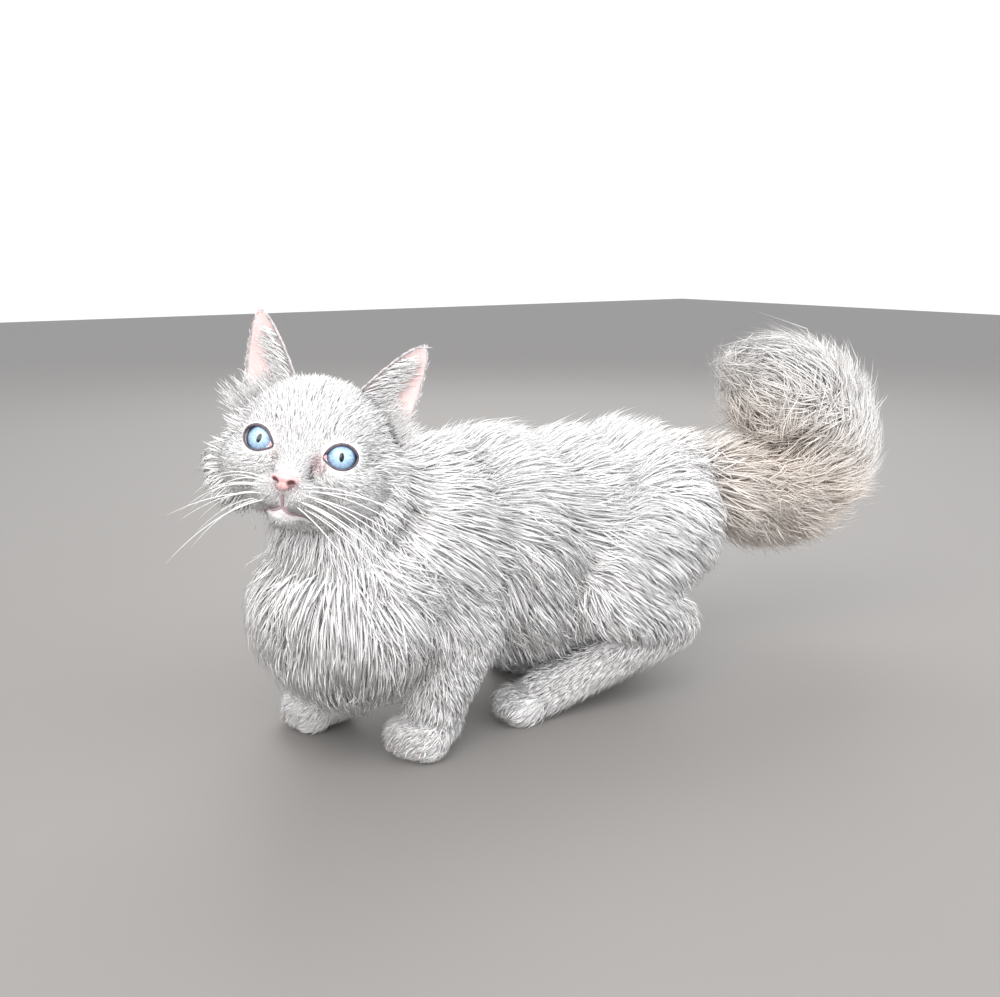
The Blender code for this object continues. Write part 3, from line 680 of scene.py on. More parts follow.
class Surface:
    """A piece as arrays, in the kitten's millimetres, with a tree to find its nearest points."""

    def __init__(self, piece):
        mesh = piece.data
        mesh.calc_loop_triangles()
        self.corners, self.loops = (
            self.numbers(mesh.loop_triangles, kind) for kind in ("vertices", "loops")
        )
        self.points = points_of(mesh)
        self.normals = np.empty(len(mesh.vertices) * 3)
        mesh.vertex_normals.foreach_get("vector", self.normals)
        self.normals = self.normals.reshape(-1, 3)
        self.map = np.empty(len(mesh.loops) * 2)
        mesh.uv_layers["OFBake"].uv.foreach_get("vector", self.map)
        self.map = self.map.reshape(-1, 2)
        a, b, c = (self.points[self.corners[:, k]] for k in range(3))
        self.areas = np.linalg.norm(np.cross(b - a, c - a), axis=1) / 2
        self.middles = (a + b + c) / 3
        self.weights = zone_weights(self.middles)
        self.tree = BVHTree.FromPolygons(self.points.tolist(), self.corners.tolist())

    def numbers(self, triangles, kind):
        """Three numbers of each triangle."""
        found = np.empty(len(triangles) * 3, np.int32)
        triangles.foreach_get(kind, found)
        return found.reshape(-1, 3)

    def scatter(self, dice, worth, count):
        """Roots spread over the faces by their worth: points, normals and places on the map."""
        chance = self.areas * worth
        picks = dice.choice(len(chance), size=count, p=chance / chance.sum())
        u, v = np.sqrt(dice.random(count)), dice.random(count)
        shares = np.stack([1 - u, u * (1 - v), u * v], axis=1)[:, :, None]
        points = (self.points[self.corners[picks]] * shares).sum(axis=1)
        normals = unit((self.normals[self.corners[picks]] * shares).sum(axis=1))
        places = (self.map[self.loops[picks]] * shares).sum(axis=1)
        return points, normals, places

    def front(self, x, z):
        """The point of the face that shows at x and z of the head's frame."""
        hit = self.tree.ray_cast(HEAD @ Vector((x, -60, z)), HEAD_BACK)[0]
        return hit or self.tree.find_nearest(HEAD @ Vector((x, -18, z)))[0]

    def nearest(self, points):
        """The nearest points of the skin, and the way out of it there."""
        found = [self.tree.find_nearest(point) for point in points.tolist()]
        return np.array([f[0] for f in found]), np.array([f[1] for f in found])


def unit(vectors):
    """Vectors of length one."""
    return vectors / np.maximum(np.linalg.norm(vectors, axis=-1, keepdims=True), 1e-9)


def dots(one, other):
    return (one * other).sum(axis=-1, keepdims=True)


def closest(points, targets):
    """Which of the targets is nearest to each point."""
    return np.argmin(((points[:, None] - targets[None]) ** 2).sum(axis=2), axis=1)


TAIL_STEPS = 40
TAIL_POINTS = curved([c for c, _, _ in TAIL], TAIL_STEPS)
TAIL_AHEAD = unit(np.gradient(TAIL_POINTS, axis=0))
TAIL_COAT = np.interp(
    np.linspace(0, len(TAIL) - 1, TAIL_STEPS), range(len(TAIL)), [hair for _, _, hair in TAIL]
)


def lies(points, normals, weights):
    """The way the hair lies at each point, along the skin."""
    count = len(points)
    # On the trunk it runs back along the top, falls down the sides and straight down the breast.
    front = np.clip((12 - points[:, 1]) / 34, 0, 1)
    fall = 0.12 + 0.95 * (1 - np.maximum(0, normals[:, 2])) ** 1.4
    back = 0.75 * (1 - front) + 0.04
    trunk = np.stack([np.zeros(count), back, -fall * (1 + 0.8 * front)], axis=1)
    down = np.tile([0.0, 0.0, -1.0], (count, 1))
    paw = np.tile([0.0, -1.0, -0.35], (count, 1))
    # On the head it runs away from the nose and from the eyes.
    from_face = unit(points - np.array(HEAD @ Vector((0, -24, -12))))
    head_back = np.array(HEAD.to_3x3() @ Vector((0, 1, 0)))
    head_down = np.array(HEAD.to_3x3() @ Vector((0, 0, -1)))
    away = np.zeros((count, 3))
    for side in (1, -1):
        eye = np.array(HEAD @ Vector(mirrored(EYE_PLACE - Vector((0, 6, 0)), side)))
        gap = points - eye
        near = np.exp(-((np.linalg.norm(gap, axis=1) / 10.0) ** 2))[:, None]
        away += unit(gap) * near * 1.6
    ways = {
        "trunk": unit(trunk),
        "neck": unit(down + [0, 0.12, 0]),
        "crown": unit(from_face + 0.5 * head_back - [0, 0, 0.1] + away),
        "face": unit(from_face + 0.3 * head_back + 0.25 * head_down + away),
        "muzzle": unit(from_face + 0.5 * head_back + 0.45 * head_down + away),
        "cheek": unit(from_face - [0, 0, 0.45]),
        "foreleg": unit(down + [0, 0.3, 0]),
        "forepaw": unit(paw),
        "thigh": unit(down * 0.75 + [0, 0.7, 0]),
        "shank": unit(down * 0.75 + [0, 0.7, 0]),
        "hindfoot": unit(paw),
        "tail": TAIL_AHEAD[closest(points, TAIL_POINTS)],
    }
    total = sum(ways[zone] * weights[:, k, None] for k, zone in enumerate(ZONES))
    return unit(total - normals * dots(total, normals))


def turned(vectors, axes, angles):
    """Vectors turned about axes at right angles to them."""
    cosine, sine = np.cos(angles)[:, None], np.sin(angles)[:, None]
    return vectors * cosine + np.cross(axes, vectors) * sine


def comb(surface, roots, normals, length, depth, turns, shares):
    """Paths of hairs over the skin, which rise to their depth at the tip.

    Each bends with the skin where it is round, and goes straight over a hollow.
    """
    place, out = roots.copy(), normals.copy()
    reach = np.sqrt(np.maximum(length**2 - depth**2, (0.4 * length) ** 2))
    path, outs = [], []
    for share, following in zip(shares, list(shares[1:]) + [None]):
        lie = turned(lies(place, out, zone_weights(place)), out, turns)
        height = -ROOT + (depth + ROOT) * share**0.75
        path.append(place + out * height[:, None])
        outs.append(out)
        if following is not None:
            step = (reach * (following - share))[:, None]
            place, normal = surface.nearest(place + lie * step)
            rounded = dots(normal, lie) > 0
            out = np.where(rounded, unit(out + 1.5 * normal), out)
    return np.stack(path, axis=1), np.stack(outs, axis=1)


def tuft_mesh(name, path, outs, width, places, rings, chance):
    """One mesh of closed three-sided blades along their paths.

    It gets the map for baking, and the strand that the streaks of the hair run along.
    """
    count, steps = path.shape[0], len(rings)
    ahead = unit(np.gradient(path, axis=1))
    across = unit(np.cross(ahead, outs))
    up = np.cross(across, ahead)
    wide = width[:, None] * np.array([w for _, w in rings])[None] / 2
    left = path[:, :steps] - across[:, :steps] * wide[..., None]
    right = path[:, :steps] + across[:, :steps] * wide[..., None]
    ridge = path[:, :steps] + up[:, :steps] * (wide * 2 * FLATNESS)[..., None]
    corners = np.stack([left, right, ridge], axis=2).reshape(count, steps * 3, 3)
    points = np.concatenate([corners, path[:, -1:]], axis=1)
    pattern, tip = [(0, 2, 1)], steps * 3
    for row in range(0, tip, 3):
        for k, n in ((0, 1), (1, 2), (2, 0)):
            a, b = row + k, row + n
            pattern += [(a, b, b + 3), (a, b + 3, a + 3)] if row + 3 < tip else [(a, b, tip)]
    pattern = np.array(pattern)
    per = tip + 1
    faces = (pattern[None] + (np.arange(count) * per)[:, None, None]).reshape(-1, 3)
    mesh = bpy.data.meshes.new(name)
    mesh.vertices.add(count * per)
    mesh.vertices.foreach_set("co", to_model(points.reshape(-1, 3)).ravel())
    mesh.loops.add(faces.size)
    mesh.loops.foreach_set("vertex_index", faces.ravel().astype(np.int32))
    mesh.polygons.add(len(faces))
    mesh.polygons.foreach_set("loop_start", (np.arange(len(faces)) * 3).astype(np.int32))
    mesh.update(calc_edges=True)
    sides = np.tile([-1.0, 1.0, 0.0], steps).tolist() + [0.0]
    shares = np.repeat([s for s, _ in rings], 3).tolist() + [1.0]
    strand = np.empty((count, per, 3))
    strand[:, :, 0], strand[:, :, 1], strand[:, :, 2] = sides, shares, chance[:, None]
    store(mesh, "strand", strand)
    patch = np.stack([np.array(sides) / 2, np.array(shares) - 0.5], axis=1) * PATCH
    lay_map(mesh, np.clip(places[:, None] + patch[None], 0.0, 1.0)[:, pattern.ravel()])
    mesh.shade_smooth()
    made = bpy.data.objects.new(name, mesh)
    bpy.context.scene.collection.objects.link(made)
    return made


def bare(points):
    """How bare each point is: 1 in the openings of the eyes and on the nose, 0 elsewhere."""
    found = np.zeros(len(points))
    for side in (1, -1):
        local = place_in(eye_matrix(side).inverted(), points)
        x, z = (local[:, k] / (half + 0.45) for k, half in zip((0, 2), EYE_OPENING))
        found[(x**2 + z**2 < 1) & (local[:, 1] < 0) & (local[:, 1] > -2 * EYE_RADIUS)] = 1
    local = place_in(HEAD.inverted(), points)
    for centre, radii in NOSE:
        found[(((local - centre) / (np.array(radii) + 0.3)) ** 2).sum(axis=1) < 1] = 1
    found[(mouth_gap(local) < 0.85) & (local[:, 1] < -10)] = 1
    found[points[:, 2] < 1.2] = 1
    return found


def mouth_gap(local):
    """How far points of the head's frame are from the line of the mouth, seen from the front."""
    line = np.concatenate([curved([(side * x, z) for x, z in MOUTH[1:]], 24) for side in (1, -1)])
    line = np.concatenate([line, curved([(x, z) for x, z in MOUTH[:2]], 8)])
    return np.concatenate([
        np.sqrt(((block[:, None, [0, 2]] - line[None]) ** 2).sum(axis=2)).min(axis=1)
        for block in np.array_split(local, max(1, len(local) // 20000))
    ])


def near_rims(points):
    """How near to the rims of the eyes and the line of the mouth each point is, from 0 to 1."""
    local = place_in(HEAD.inverted(), points)
    found = np.where(local[:, 1] < -10, np.clip(1.25 - mouth_gap(local) / 3.2, 0, 1), 0)
    for side in (1, -1):
        local = place_in(eye_matrix(side).inverted(), points)
        ring = np.sqrt((local[:, 0] / EYE_OPENING[0]) ** 2 + (local[:, 2] / EYE_OPENING[1]) ** 2)
        found = np.maximum(found, np.where(local[:, 1] < 0, np.clip(1.7 - ring, 0, 1), 0))
    return found


def grow(surface, name, zones, reach, count, rings, spacing, seed):
    """A coat piece: tufts rooted in some zones, between two places along the body.

    Where a spacing is given, they gather in locks that far apart.
    """
    dice = np.random.default_rng(seed)
    columns = [ZONES.index(zone) for zone in zones]
    worth = surface.weights[:, columns].sum(axis=1) ** 1.5
    worth = worth * ((surface.middles[:, 1] >= reach[0]) & (surface.middles[:, 1] < reach[1]))
    worth = worth * (1 - bare(surface.middles))
    roots, normals, places = surface.scatter(dice, worth, count)
    shares = [s for s, _ in RINGS[rings]] + [1.0]

    def paths(points, outward, wild):
        weights = zone_weights(points)
        number = len(points)
        depth, length, width = (weights @ np.array(column) for column in zip(*COAT.values()))
        tail = weights[:, ZONES.index("tail")]
        along = closest(points, TAIL_POINTS)
        depth = depth * (1 - tail) + 1.1 * TAIL_COAT[along] * tail
        close = near_rims(points)
        losses = ((depth, 0.75), (length, 0.6), (width, 0.35))
        depth, length, width = (value * (1 - loss * close) for value, loss in losses)
        low = 0.42 + 0.38 * tail
        stray = dice.random(number) < STRAYS
        depth = depth * size("coat_share") * (low + (1.04 - low) * dice.random(number))
        depth = depth * np.where(stray, 1.15, 1.0)
        length = length * dice.uniform(0.62, 1.12, number)
        turns = dice.normal(0, wild, number) * np.where(stray, 2.5, 1.0)
        depth = depth * (1 + 0.22 * np.maximum(0, outward[:, 2]) * (1 - tail))
        end = tail * np.clip(dots(outward, TAIL_AHEAD[along])[:, 0] * 2 - 0.5, 0, 1)
        depth = np.maximum(depth, length * 0.85 * end)
        made, outs = comb(surface, points, outward, length, depth, turns, shares)
        return made, outs, width * size("tuft_share") * dice.uniform(0.7, 1.3, number)

    path, outs, width = paths(roots, normals, 0.11)
    if spacing:
        locks = max(8, int((surface.areas * worth).sum() / spacing**2))
        centres, outward, _ = surface.scatter(dice, worth, locks)
        lead, _, _ = paths(centres, outward, 0.3)
        blocks = np.array_split(roots, max(1, count // 2000))
        mine = np.concatenate([closest(block, centres) for block in blocks])
        pull = size("clumping") * dice.uniform(0.55, 1.0, count)
        rise = np.array(shares) ** 1.5
        path = path + (lead[mine] - path) * pull[:, None, None] * rise[None, :, None]
    path[:, :, 2] = np.maximum(path[:, :, 2], FLOOR_GAP)
    return tuft_mesh(name, path, outs, width, places, RINGS[rings], dice.random(count))


def dress(piece, material):
    """Gives a coat piece its finish and ties it to the body."""
    piece.data.materials.append(material)
    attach(piece, "root")


KEPT = {}                       # what operators share: the skin's surface, the coat's material


def almond(angles, margin):
    """The outline of the opening between the lids, seen along the eye."""
    half_width, half_height = EYE_OPENING
    x = (half_width + margin) * np.cos(angles)
    narrowed = 1 - EYE_NARROWING * np.abs(np.cos(angles)) ** 3
    return x, (half_height + margin) * np.sin(angles) * narrowed


class KITTEN_OT_skin(Operator):
    """Presses the masses of the body into one skin, with openings for the eyes and a mouth line"""

    bl_idname = "kitten.skin"
    bl_label = "Skin"

    def execute(self, context):
        skin = clay("skin", MASSES, 1.45, 5)
        shape = bmesh.new()
        shape.from_mesh(skin.data)
        # The snout gets a finer mesh, in which the line of the mouth is pressed.
        snout, reach = HEAD @ Vector((0, -22, -17)), 17
        faces = [f for f in shape.faces if (f.calc_center_median() - snout).length < reach]
        edges = list({e for f in faces for e in f.edges})
        bmesh.ops.subdivide_edges(shape, edges=edges, cuts=2, use_grid_fill=True, smooth=0.3)
        local = place_in(HEAD.inverted(), [v.co for v in shape.verts])
        sink = 1.3 * np.exp(-((mouth_gap(local) / 0.8) ** 2)) * (local[:, 1] < -10)
        back = np.array(HEAD_TURNED @ Vector((0, 1, 0)))
        for vertex, depth in zip(shape.verts, sink):
            if depth > 0.02:
                vertex.co += Vector(back * depth)
            vertex.co.z = max(vertex.co.z, 0.3)
        bmesh.ops.triangulate(shape, faces=shape.faces)
        shape.to_mesh(skin.data)
        shape.free()
        for side in (1, -1):
            cut(skin, self.opening(side))
        skin.data.shade_smooth()
        activate(skin)
        bpy.ops.object.mode_set(mode="EDIT")
        bpy.ops.mesh.select_all(action="SELECT")
        bpy.ops.mesh.quads_convert_to_tris()
        bpy.ops.uv.smart_project(angle_limit=math.radians(66), island_margin=0.002)
        bpy.ops.object.mode_set(mode="OBJECT")
        skin.data.uv_layers[0].name = "OFBake"
        KEPT["surface"] = Surface(skin)
        flesh = [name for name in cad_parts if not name.startswith(("eye", "nose", "ear"))]
        settle(skin, skin_finish(), "white_coat", *flesh)
        return {"FINISHED"}

    def opening(self, side):
        """The almond between the lids, run out along the line of sight."""
        count = 40
        x, z = almond(np.linspace(0, math.tau, count, endpoint=False), 0.0)
        points = [np.stack([x, np.full(count, y), z], axis=1) for y in (-17.0, -1.0)]
        faces = [(k, (k + 1) % count, count + (k + 1) % count, count + k) for k in range(count)]
        faces += [tuple(range(count))[::-1], tuple(range(count, 2 * count))]
        made = object_of("opening", place_in(eye_matrix(side), np.concatenate(points)), faces)
        point_outwards(made)
        return made


class KITTEN_OT_eyes(Operator):
    """Makes the eyeballs with blue irises and upright pupils"""

    bl_idname = "kitten.eyes"
    bl_label = "Eyes"

    def execute(self, context):
        material = self.finish()
        for side, tag in ((1, "left"), (-1, "right")):
            deselect()
            bpy.ops.mesh.primitive_uv_sphere_add(segments=72, ring_count=48, radius=EYE_RADIUS)
            eye = bpy.context.active_object
            eye.name = "eyeball_" + tag
            points = points_of(eye.data) @ np.array(Matrix.Rotation(math.pi / 2, 3, "X")).T
            rim = np.hypot(points[:, 0], points[:, 2])
            bulge = CORNEA * np.clip(1 - (rim / CORNEA_REACH) ** 2, 0, 1) ** 0.8
            points[:, 1] -= np.where(points[:, 1] < 0, bulge, 0)
            store(eye.data, "sight", points / EYE_RADIUS)
            aim = (eye_matrix(side).inverted() @ GAZE_AT).normalized()
            gaze = Vector((0, -1, 0)).slerp(aim, GAZE_SHARE).to_track_quat("-Y", "Z").to_matrix()
            placed = place_in(eye_matrix(side) @ gaze.to_4x4(), points)
            eye.data.vertices.foreach_set("co", placed.ravel())
            eye.data.shade_smooth()
            settle(eye, material, "blue_eye", "eye_" + tag)
        return {"FINISHED"}

    def finish(self):
        """An iris with rays, a dark ring round it that is partly its limbal ring and partly painted
        shade from the lids, and an upright pupil.
        """
        made = Finish("eye", 0.08, Coat_Weight=0.7, Coat_Roughness=0.02, Specular_IOR_Level=0.3)
        x, y, z = made.attribute("sight")
        radius = made.length(x, z)
        angle = made.maths("ARCTAN2", z, x)
        rays = made.join(made.times(angle, 9.0), made.times(radius, 2.0), 0.3)
        rays = made.noise(rays, 1.6, 5.0, 0.7)
        iris = made.mix(made.spread(radius, 0.2, 0.68), shade("iris_light"), shade("iris_dark"))
        iris = made.mix(made.spread(rays, 0.4, 0.7, 0.0, 0.5), iris, (0.66, 0.80, 0.92))
        iris = made.mix(made.spread(rays, 0.3, 0.5, 0.55, 0.0), iris, (0.07, 0.17, 0.34))
        # Dark ring and darker eyeball beyond it: partly the limbal ring, partly painted shade cast
        # by the lids.
        iris = made.mix(made.spread(radius, 0.50, 0.70), iris, (0.02, 0.035, 0.06))
        pupil = made.length(made.maths("DIVIDE", x, 0.115), made.maths("DIVIDE", z, 0.23))
        front = made.maths("LESS_THAN", y, 0.0)
        black = made.times(made.spread(pupil, 0.92, 1.05, 1.0, 0.0), front)
        made.colour(made.mix(black, iris, (0.004, 0.004, 0.006)))
        return made.material


class KITTEN_OT_lids(Operator):
    """Lays the dark rims of the lids round the eyes, with a pink inner corner"""

    bl_idname = "kitten.lids"
    bl_label = "Lids"

    def execute(self, context):
        lines, corners, count = [], [], 48
        for side in (1, -1):
            angles = np.linspace(0, math.tau, count + 1)
            x, z = almond(angles, 0.15)
            # The inner corner runs out towards the nose.
            inner = np.clip(-side * np.cos(angles), 0, 1) ** 8
            x, z = x - side * 0.7 * inner, z - 0.5 * inner
            y = -np.sqrt(np.maximum((EYE_RADIUS + LID - 0.55) ** 2 - x**2 - z**2, 4))
            line = place_in(eye_matrix(side), np.stack([x, y, z], axis=1))
            upper = np.clip(np.sin(angles), 0, 1)
            lines.append((line, 0.42 + 0.28 * upper))
            k = count // 2 if side > 0 else 0
            heart = line[k] + (line[(k + count // 2) % count] - line[k]) * 0.10
            corners.append((np.stack([line[k] - [0, 0, 0.1], heart]), np.array([0.9, 0.75])))
        rims = tubes("lid_rims", lines, 10)
        made = Finish("lid", 0.35, Specular_IOR_Level=0.5)
        tone = made.noise(made.place(), 700.0)
        made.colour(made.mix(made.spread(tone, 0.3, 0.7), shade("lid"), (0.13, 0.098, 0.12)))
        made.bump(tone, 0.3, 0.0003)
        settle(rims, made.material, "ear_skin")
        pinks = (0.62, 0.28, 0.28), (0.80, 0.48, 0.46)
        pink = mottled("eye_corner", 0.25, 500.0, *pinks, Specular_IOR_Level=0.6)
        settle(tubes("eye_corners", corners, 10), pink, "ear_skin")
        return {"FINISHED"}


class KITTEN_OT_nose(Operator):
    """Shapes the leather of the nose with its two nostrils and the groove between them"""

    bl_idname = "kitten.nose"
    bl_label = "Nose"

    def execute(self, context):
        nose = clay("nose_pad", in_head(NOSE, "muzzle"), 0.28, 6)
        local = place_in(HEAD.inverted(), points_of(nose.data))
        sink = np.zeros(len(local))
        for side in (1, -1):
            out, up = local[:, 0] - side * NOSTRIL[0], local[:, 2] - NOSTRIL[2]
            x, z = out * 0.88 + side * up * 0.42, up * 0.9 - side * out * 0.42
            hole = np.exp(-((x / 1.35) ** 2 + (z / 0.8) ** 2) ** 1.5)
            sink = np.maximum(sink, NOSTRIL_DEPTH * hole)
        groove = 0.45 * np.exp(-((local[:, 0] / 0.35) ** 2))
        groove = groove * np.clip((-local[:, 2] - 11.0) / 2.5, 0, 1)
        sink = np.maximum(sink, groove) * (local[:, 1] < -30)
        local[:, 1] += sink
        nose.data.vertices.foreach_set("co", place_in(HEAD, local).ravel())
        nose.data.update()
        nose.data.shade_smooth()
        made = Finish("nose", 0.42, Specular_IOR_Level=0.5)
        place = made.place()
        tone = made.noise(place, 350.0, 4.0)
        colour = made.mix(made.spread(tone, 0.3, 0.7), shade("nose_pink"), (0.83, 0.53, 0.51))
        # Painted shade inside the nostrils, darkest at their depth.
        for side in (1, -1):
            spot = point_of(mirrored((NOSTRIL[0], NOSTRIL[1] + 1.6, NOSTRIL[2]), side))
            near = made.spread(made.distance(place, spot), 0.0009, 0.0022, 1.0, 0.0)
            colour = made.mix(near, colour, (0.14, 0.045, 0.05))
        made.colour(colour)
        pebble = made.node("TexVoronoi", place)
        pebble.inputs["Scale"].default_value = 1900.0
        made.bump(pebble.outputs["Distance"], 0.35, 0.0002)
        settle(nose, made.material, "nose_leather", "nose")
        return {"FINISHED"}


class KITTEN_OT_mouth(Operator):
    """Lays the grey lips along the line of the mouth"""

    bl_idname = "kitten.mouth"
    bl_label = "Mouth"

    def execute(self, context):
        surface, count, radius = KEPT["surface"], 14, 0.6
        lines = []
        for line in [MOUTH[:2]] + [[(side * x, z) for x, z in MOUTH[1:]] for side in (1, -1)]:
            points = [surface.front(x, z) - HEAD_BACK * 0.5 for x, z in curved(line, count)]
            taper = np.linspace(1.0, 0.45, count) if len(line) > 2 else np.ones(count)
            lines.append((np.array(points), radius * taper))
        grey = mottled("lip", 0.5, 600.0, shade("lip"), (0.44, 0.31, 0.32))
        settle(tubes("lips", lines, 8), grey, "nose_leather")
        return {"FINISHED"}


def ear_point(side, u, v, wall):
    """A point of an ear: u across from -1 to 1, v up from 0 to 1, wall from front to back."""
    middle = np.array((EAR_INNER + EAR_OUTER) / 2)
    across, up = np.array(EAR_OUTER - EAR_INNER), np.array(EAR_TIP) - middle
    back = np.cross(across, up)
    back /= np.linalg.norm(back)
    back = back if back[1] > 0 else -back
    u, v, wall = (np.asarray(k, float)[..., None] for k in (u, v, wall))
    width = (1 - v) ** 0.6 * 0.985 + 0.015
    bulge = 1 - u * u
    point = middle + up * v + across * (0.5 * u * width)
    point = point + back * (EAR_CUP * (1 - v) ** 0.8 * bulge + wall * (0.3 + 0.7 * bulge))
    point = point * np.array([side, 1, 1])
    return place_in(HEAD, point)


def ear_spots(u, v, back):
    """Places on an ear's map."""
    (width, height), (left, low) = EAR_MAP, EAR_MAP_PLACE
    return np.stack([u * width + left + (EAR_MAP_BACK if back else 0.0), v * height + low], axis=1)


class KITTEN_OT_ears(Operator):
    """Makes the thin cupped ears, pink inside"""

    bl_idname = "kitten.ears"
    bl_label = "Ears"

    def execute(self, context):
        material = self.finish()
        columns, rows = EAR_GRID
        wide, start = columns + 1, (columns + 1) * rows
        u, v = np.meshgrid(np.linspace(-1, 1, wide), np.sin(np.linspace(0, math.pi / 2, rows)))
        grid = [
            (k, k + 1, k + wide + 1, k + wide)
            for row in range(0, start - wide, wide) for k in range(row, row + columns)
        ]
        rim = list(range(wide)) + [r * wide + columns for r in range(1, rows)]
        rim += [(rows - 1) * wide + c for c in range(columns - 1, -1, -1)]
        rim += [r * wide for r in range(rows - 2, 0, -1)]
        faces = grid + [tuple(k + start for k in face[::-1]) for face in grid]
        faces += [(a, b, b + start, a + start) for a, b in zip(rim, rim[1:] + rim[:1])]
        spots = np.concatenate([ear_spots(u.ravel(), v.ravel(), back) for back in (False, True)])
        inner = np.concatenate([np.ones(start), np.zeros(start)])
        values = np.stack([np.tile(u.ravel(), 2), np.tile(v.ravel(), 2), inner], axis=1)
        for side, tag in ((1, "left"), (-1, "right")):
            walls = [ear_point(side, u, v, np.full(u.shape, wall)) for wall in (0.0, EAR_WALL)]
            piece = object_of("pinna_" + tag, np.concatenate(walls).reshape(-1, 3), faces)
            point_outwards(piece)
            store(piece.data, "ear", values)
            loops = np.empty(len(piece.data.loops), np.int32)
            piece.data.loops.foreach_get("vertex_index", loops)
            lay_map(piece.data, spots[loops])
            settle(piece, material, "ear_skin", "ear_" + tag)
        return {"FINISHED"}

    def finish(self):
        """Pink with veins inside, grey behind."""
        made = Finish(
            "ear", 0.6, Specular_IOR_Level=0.3, Subsurface_Weight=0.15, Subsurface_Scale=0.002
        )
        u, v, inner = made.attribute("ear")
        veins = made.noise(made.join(made.times(u, 3.0), made.times(v, 1.2), 0.0), 2.5, 4.0)
        pink = made.mix(made.spread(veins, 0.35, 0.65), shade("ear_pink"), (0.86, 0.64, 0.61))
        rim = made.spread(made.maths("ABSOLUTE", u), 0.72, 0.98)
        pink = made.mix(rim, pink, (0.72, 0.62, 0.62))
        made.colour(made.mix(inner, shade("grey_tip"), pink))
        made.bump(veins, 0.3, 0.0005)
        return made.material


class KITTEN_OT_ear_coat(Operator):
    """Grows the short lilac fur behind the ears and the long white hair inside them"""

    bl_idname = "kitten.ear_coat"
    bl_label = "Ear coat"

    def execute(self, context):
        dice = np.random.default_rng(SEED + 40)
        grey = self.finish()
        for side, tag in ((1, "left"), (-1, "right")):
            # Short fur behind the ear, thicker along its rim.
            count = EAR_FUR
            v = 1 - dice.random(count) ** 0.6
            u = dice.uniform(-1, 1, count)
            rim = dice.random(count) < 0.3
            u = np.where(rim, np.sign(u) * dice.uniform(0.9, 1.0, count), u)
            wall = np.where(rim, dice.uniform(0.2, 1.0, count), 1.0) * EAR_WALL
            length, depth = dice.uniform(2.4, 4.4, count), dice.uniform(0.35, 0.9, count)
            sweep = np.zeros(count)
            grid = u, v, wall, length, depth, sweep
            dress(self.hairs(dice, side, f"ear_fur_{tag}", grid, 0.6, 2, True), grey)
            # Long hair from the inner edge and from the foot of the ear.
            count = EAR_HAIR
            edge = dice.random(count)
            inner, foot = dice.uniform(-0.97, -0.35, count), dice.uniform(-0.6, 1.0, count)
            u = np.where(edge < 0.5, inner, foot)
            v = np.where(edge < 0.5, dice.random(count) ** 1.3 * 0.72, dice.random(count) * 0.13)
            wall = np.zeros(count)
            length = dice.uniform(8, 18, count) * (1 - 0.6 * v)
            depth = -dice.uniform(2.0, 6.0, count)
            sweep = np.where(u < 0, 0.75, 0.1 + 0.6 * u)
            grid = u, v, wall, length, depth, sweep
            hair = self.hairs(dice, side, f"ear_hair_{tag}", grid, 0.5, 3, False)
            dress(hair, KEPT["coat"])
        return {"FINISHED"}

    def hairs(self, dice, side, name, grid, width, rings, back):
        """Tufts of an ear: up it, swept across it and out of it, or inwards at a negative depth."""
        u, v, wall, length, depth, sweep = grid
        shares = np.array([s for s, _ in RINGS[rings]] + [1.0])
        step = 0.01
        root = ear_point(side, u, v, wall)
        higher = ear_point(side, u, np.minimum(v + step, 1.0), wall)
        up = unit(higher - ear_point(side, u, v - step * 0.5, wall))
        across = unit(ear_point(side, u + step, v, wall) - root)
        outward = unit(ear_point(side, u, v, wall + 1.0) - root)
        lie = unit(up + across * (sweep + dice.normal(0, 0.2, len(u)))[:, None])
        sign = np.sign(depth)[:, None]
        path = root[:, None] + lie[:, None] * (length[:, None, None] * shares[None, :, None])
        lift = depth[:, None] * shares[None] ** 0.8 - sign * 0.3 * (shares[None] == 0)
        path = path + outward[:, None] * lift[..., None]
        bend = np.zeros(path.shape)
        bend[..., 2] = -0.08 * length[:, None] * shares[None] ** 2
        outs = np.repeat((outward * sign)[:, None], len(shares), axis=1)
        widths = width * dice.uniform(0.7, 1.3, len(u))
        chance, spots = dice.random(len(u)), ear_spots(u, v, back)
        return tuft_mesh(name, path + bend, outs, widths, spots, RINGS[rings], chance)

    def finish(self):
        """Lilac grey, with some white tufts."""
        made = Finish("ear_fur", 0.65, Specular_IOR_Level=0.25, Sheen_Weight=0.25)
        _, along, chance = made.attribute("strand")
        colour = made.mix(made.spread(along, 0.0, 0.9), (0.60, 0.55, 0.57), shade("grey_tip"))
        colour = made.mix(made.spread(chance, 0.3, 1.0, 0.0, 0.75), colour, shade("white_tip"))
        made.colour(colour)
        return made.material


class KITTEN_OT_claws(Operator):
    """Sets a small curved claw in each toe"""

    bl_idname = "kitten.claws"
    bl_label = "Claws"

    def execute(self, context):
        lines = []
        length, shares = size("claw_length") / MM, np.linspace(0, 1, 7)
        bends = [Vector((0, -length * t, -length * 0.75 * t * t)) for t in shares]
        feet = [(Vector(place), yaw, FOREPAW_TOES, -14.4, -2.0) for place, yaw in FOREPAWS]
        feet += [(Vector(ball[0]), yaw, HINDFOOT_TOES, -20.2, -4.2) for _, ball, yaw in HINDFEET]
        for place, yaw, spacing, ahead, drop in feet:
            turn = Matrix.Rotation(math.radians(yaw), 3, "Z")
            for start in toe_places(spacing, ahead, drop):
                line = np.array([place + turn @ (start + bend) for bend in bends])
                line[:, 2] = np.maximum(line[:, 2], 0.7)
                lines.append((line, 0.5 * (1 - shares) ** 0.7 + 0.05))
        horns = shade("claw"), (0.70, 0.52, 0.48)
        horn = mottled("claw", 0.28, 400.0, *horns, Specular_IOR_Level=0.5)
        settle(tubes("claws", lines, 8), horn, "ear_skin")
        return {"FINISHED"}


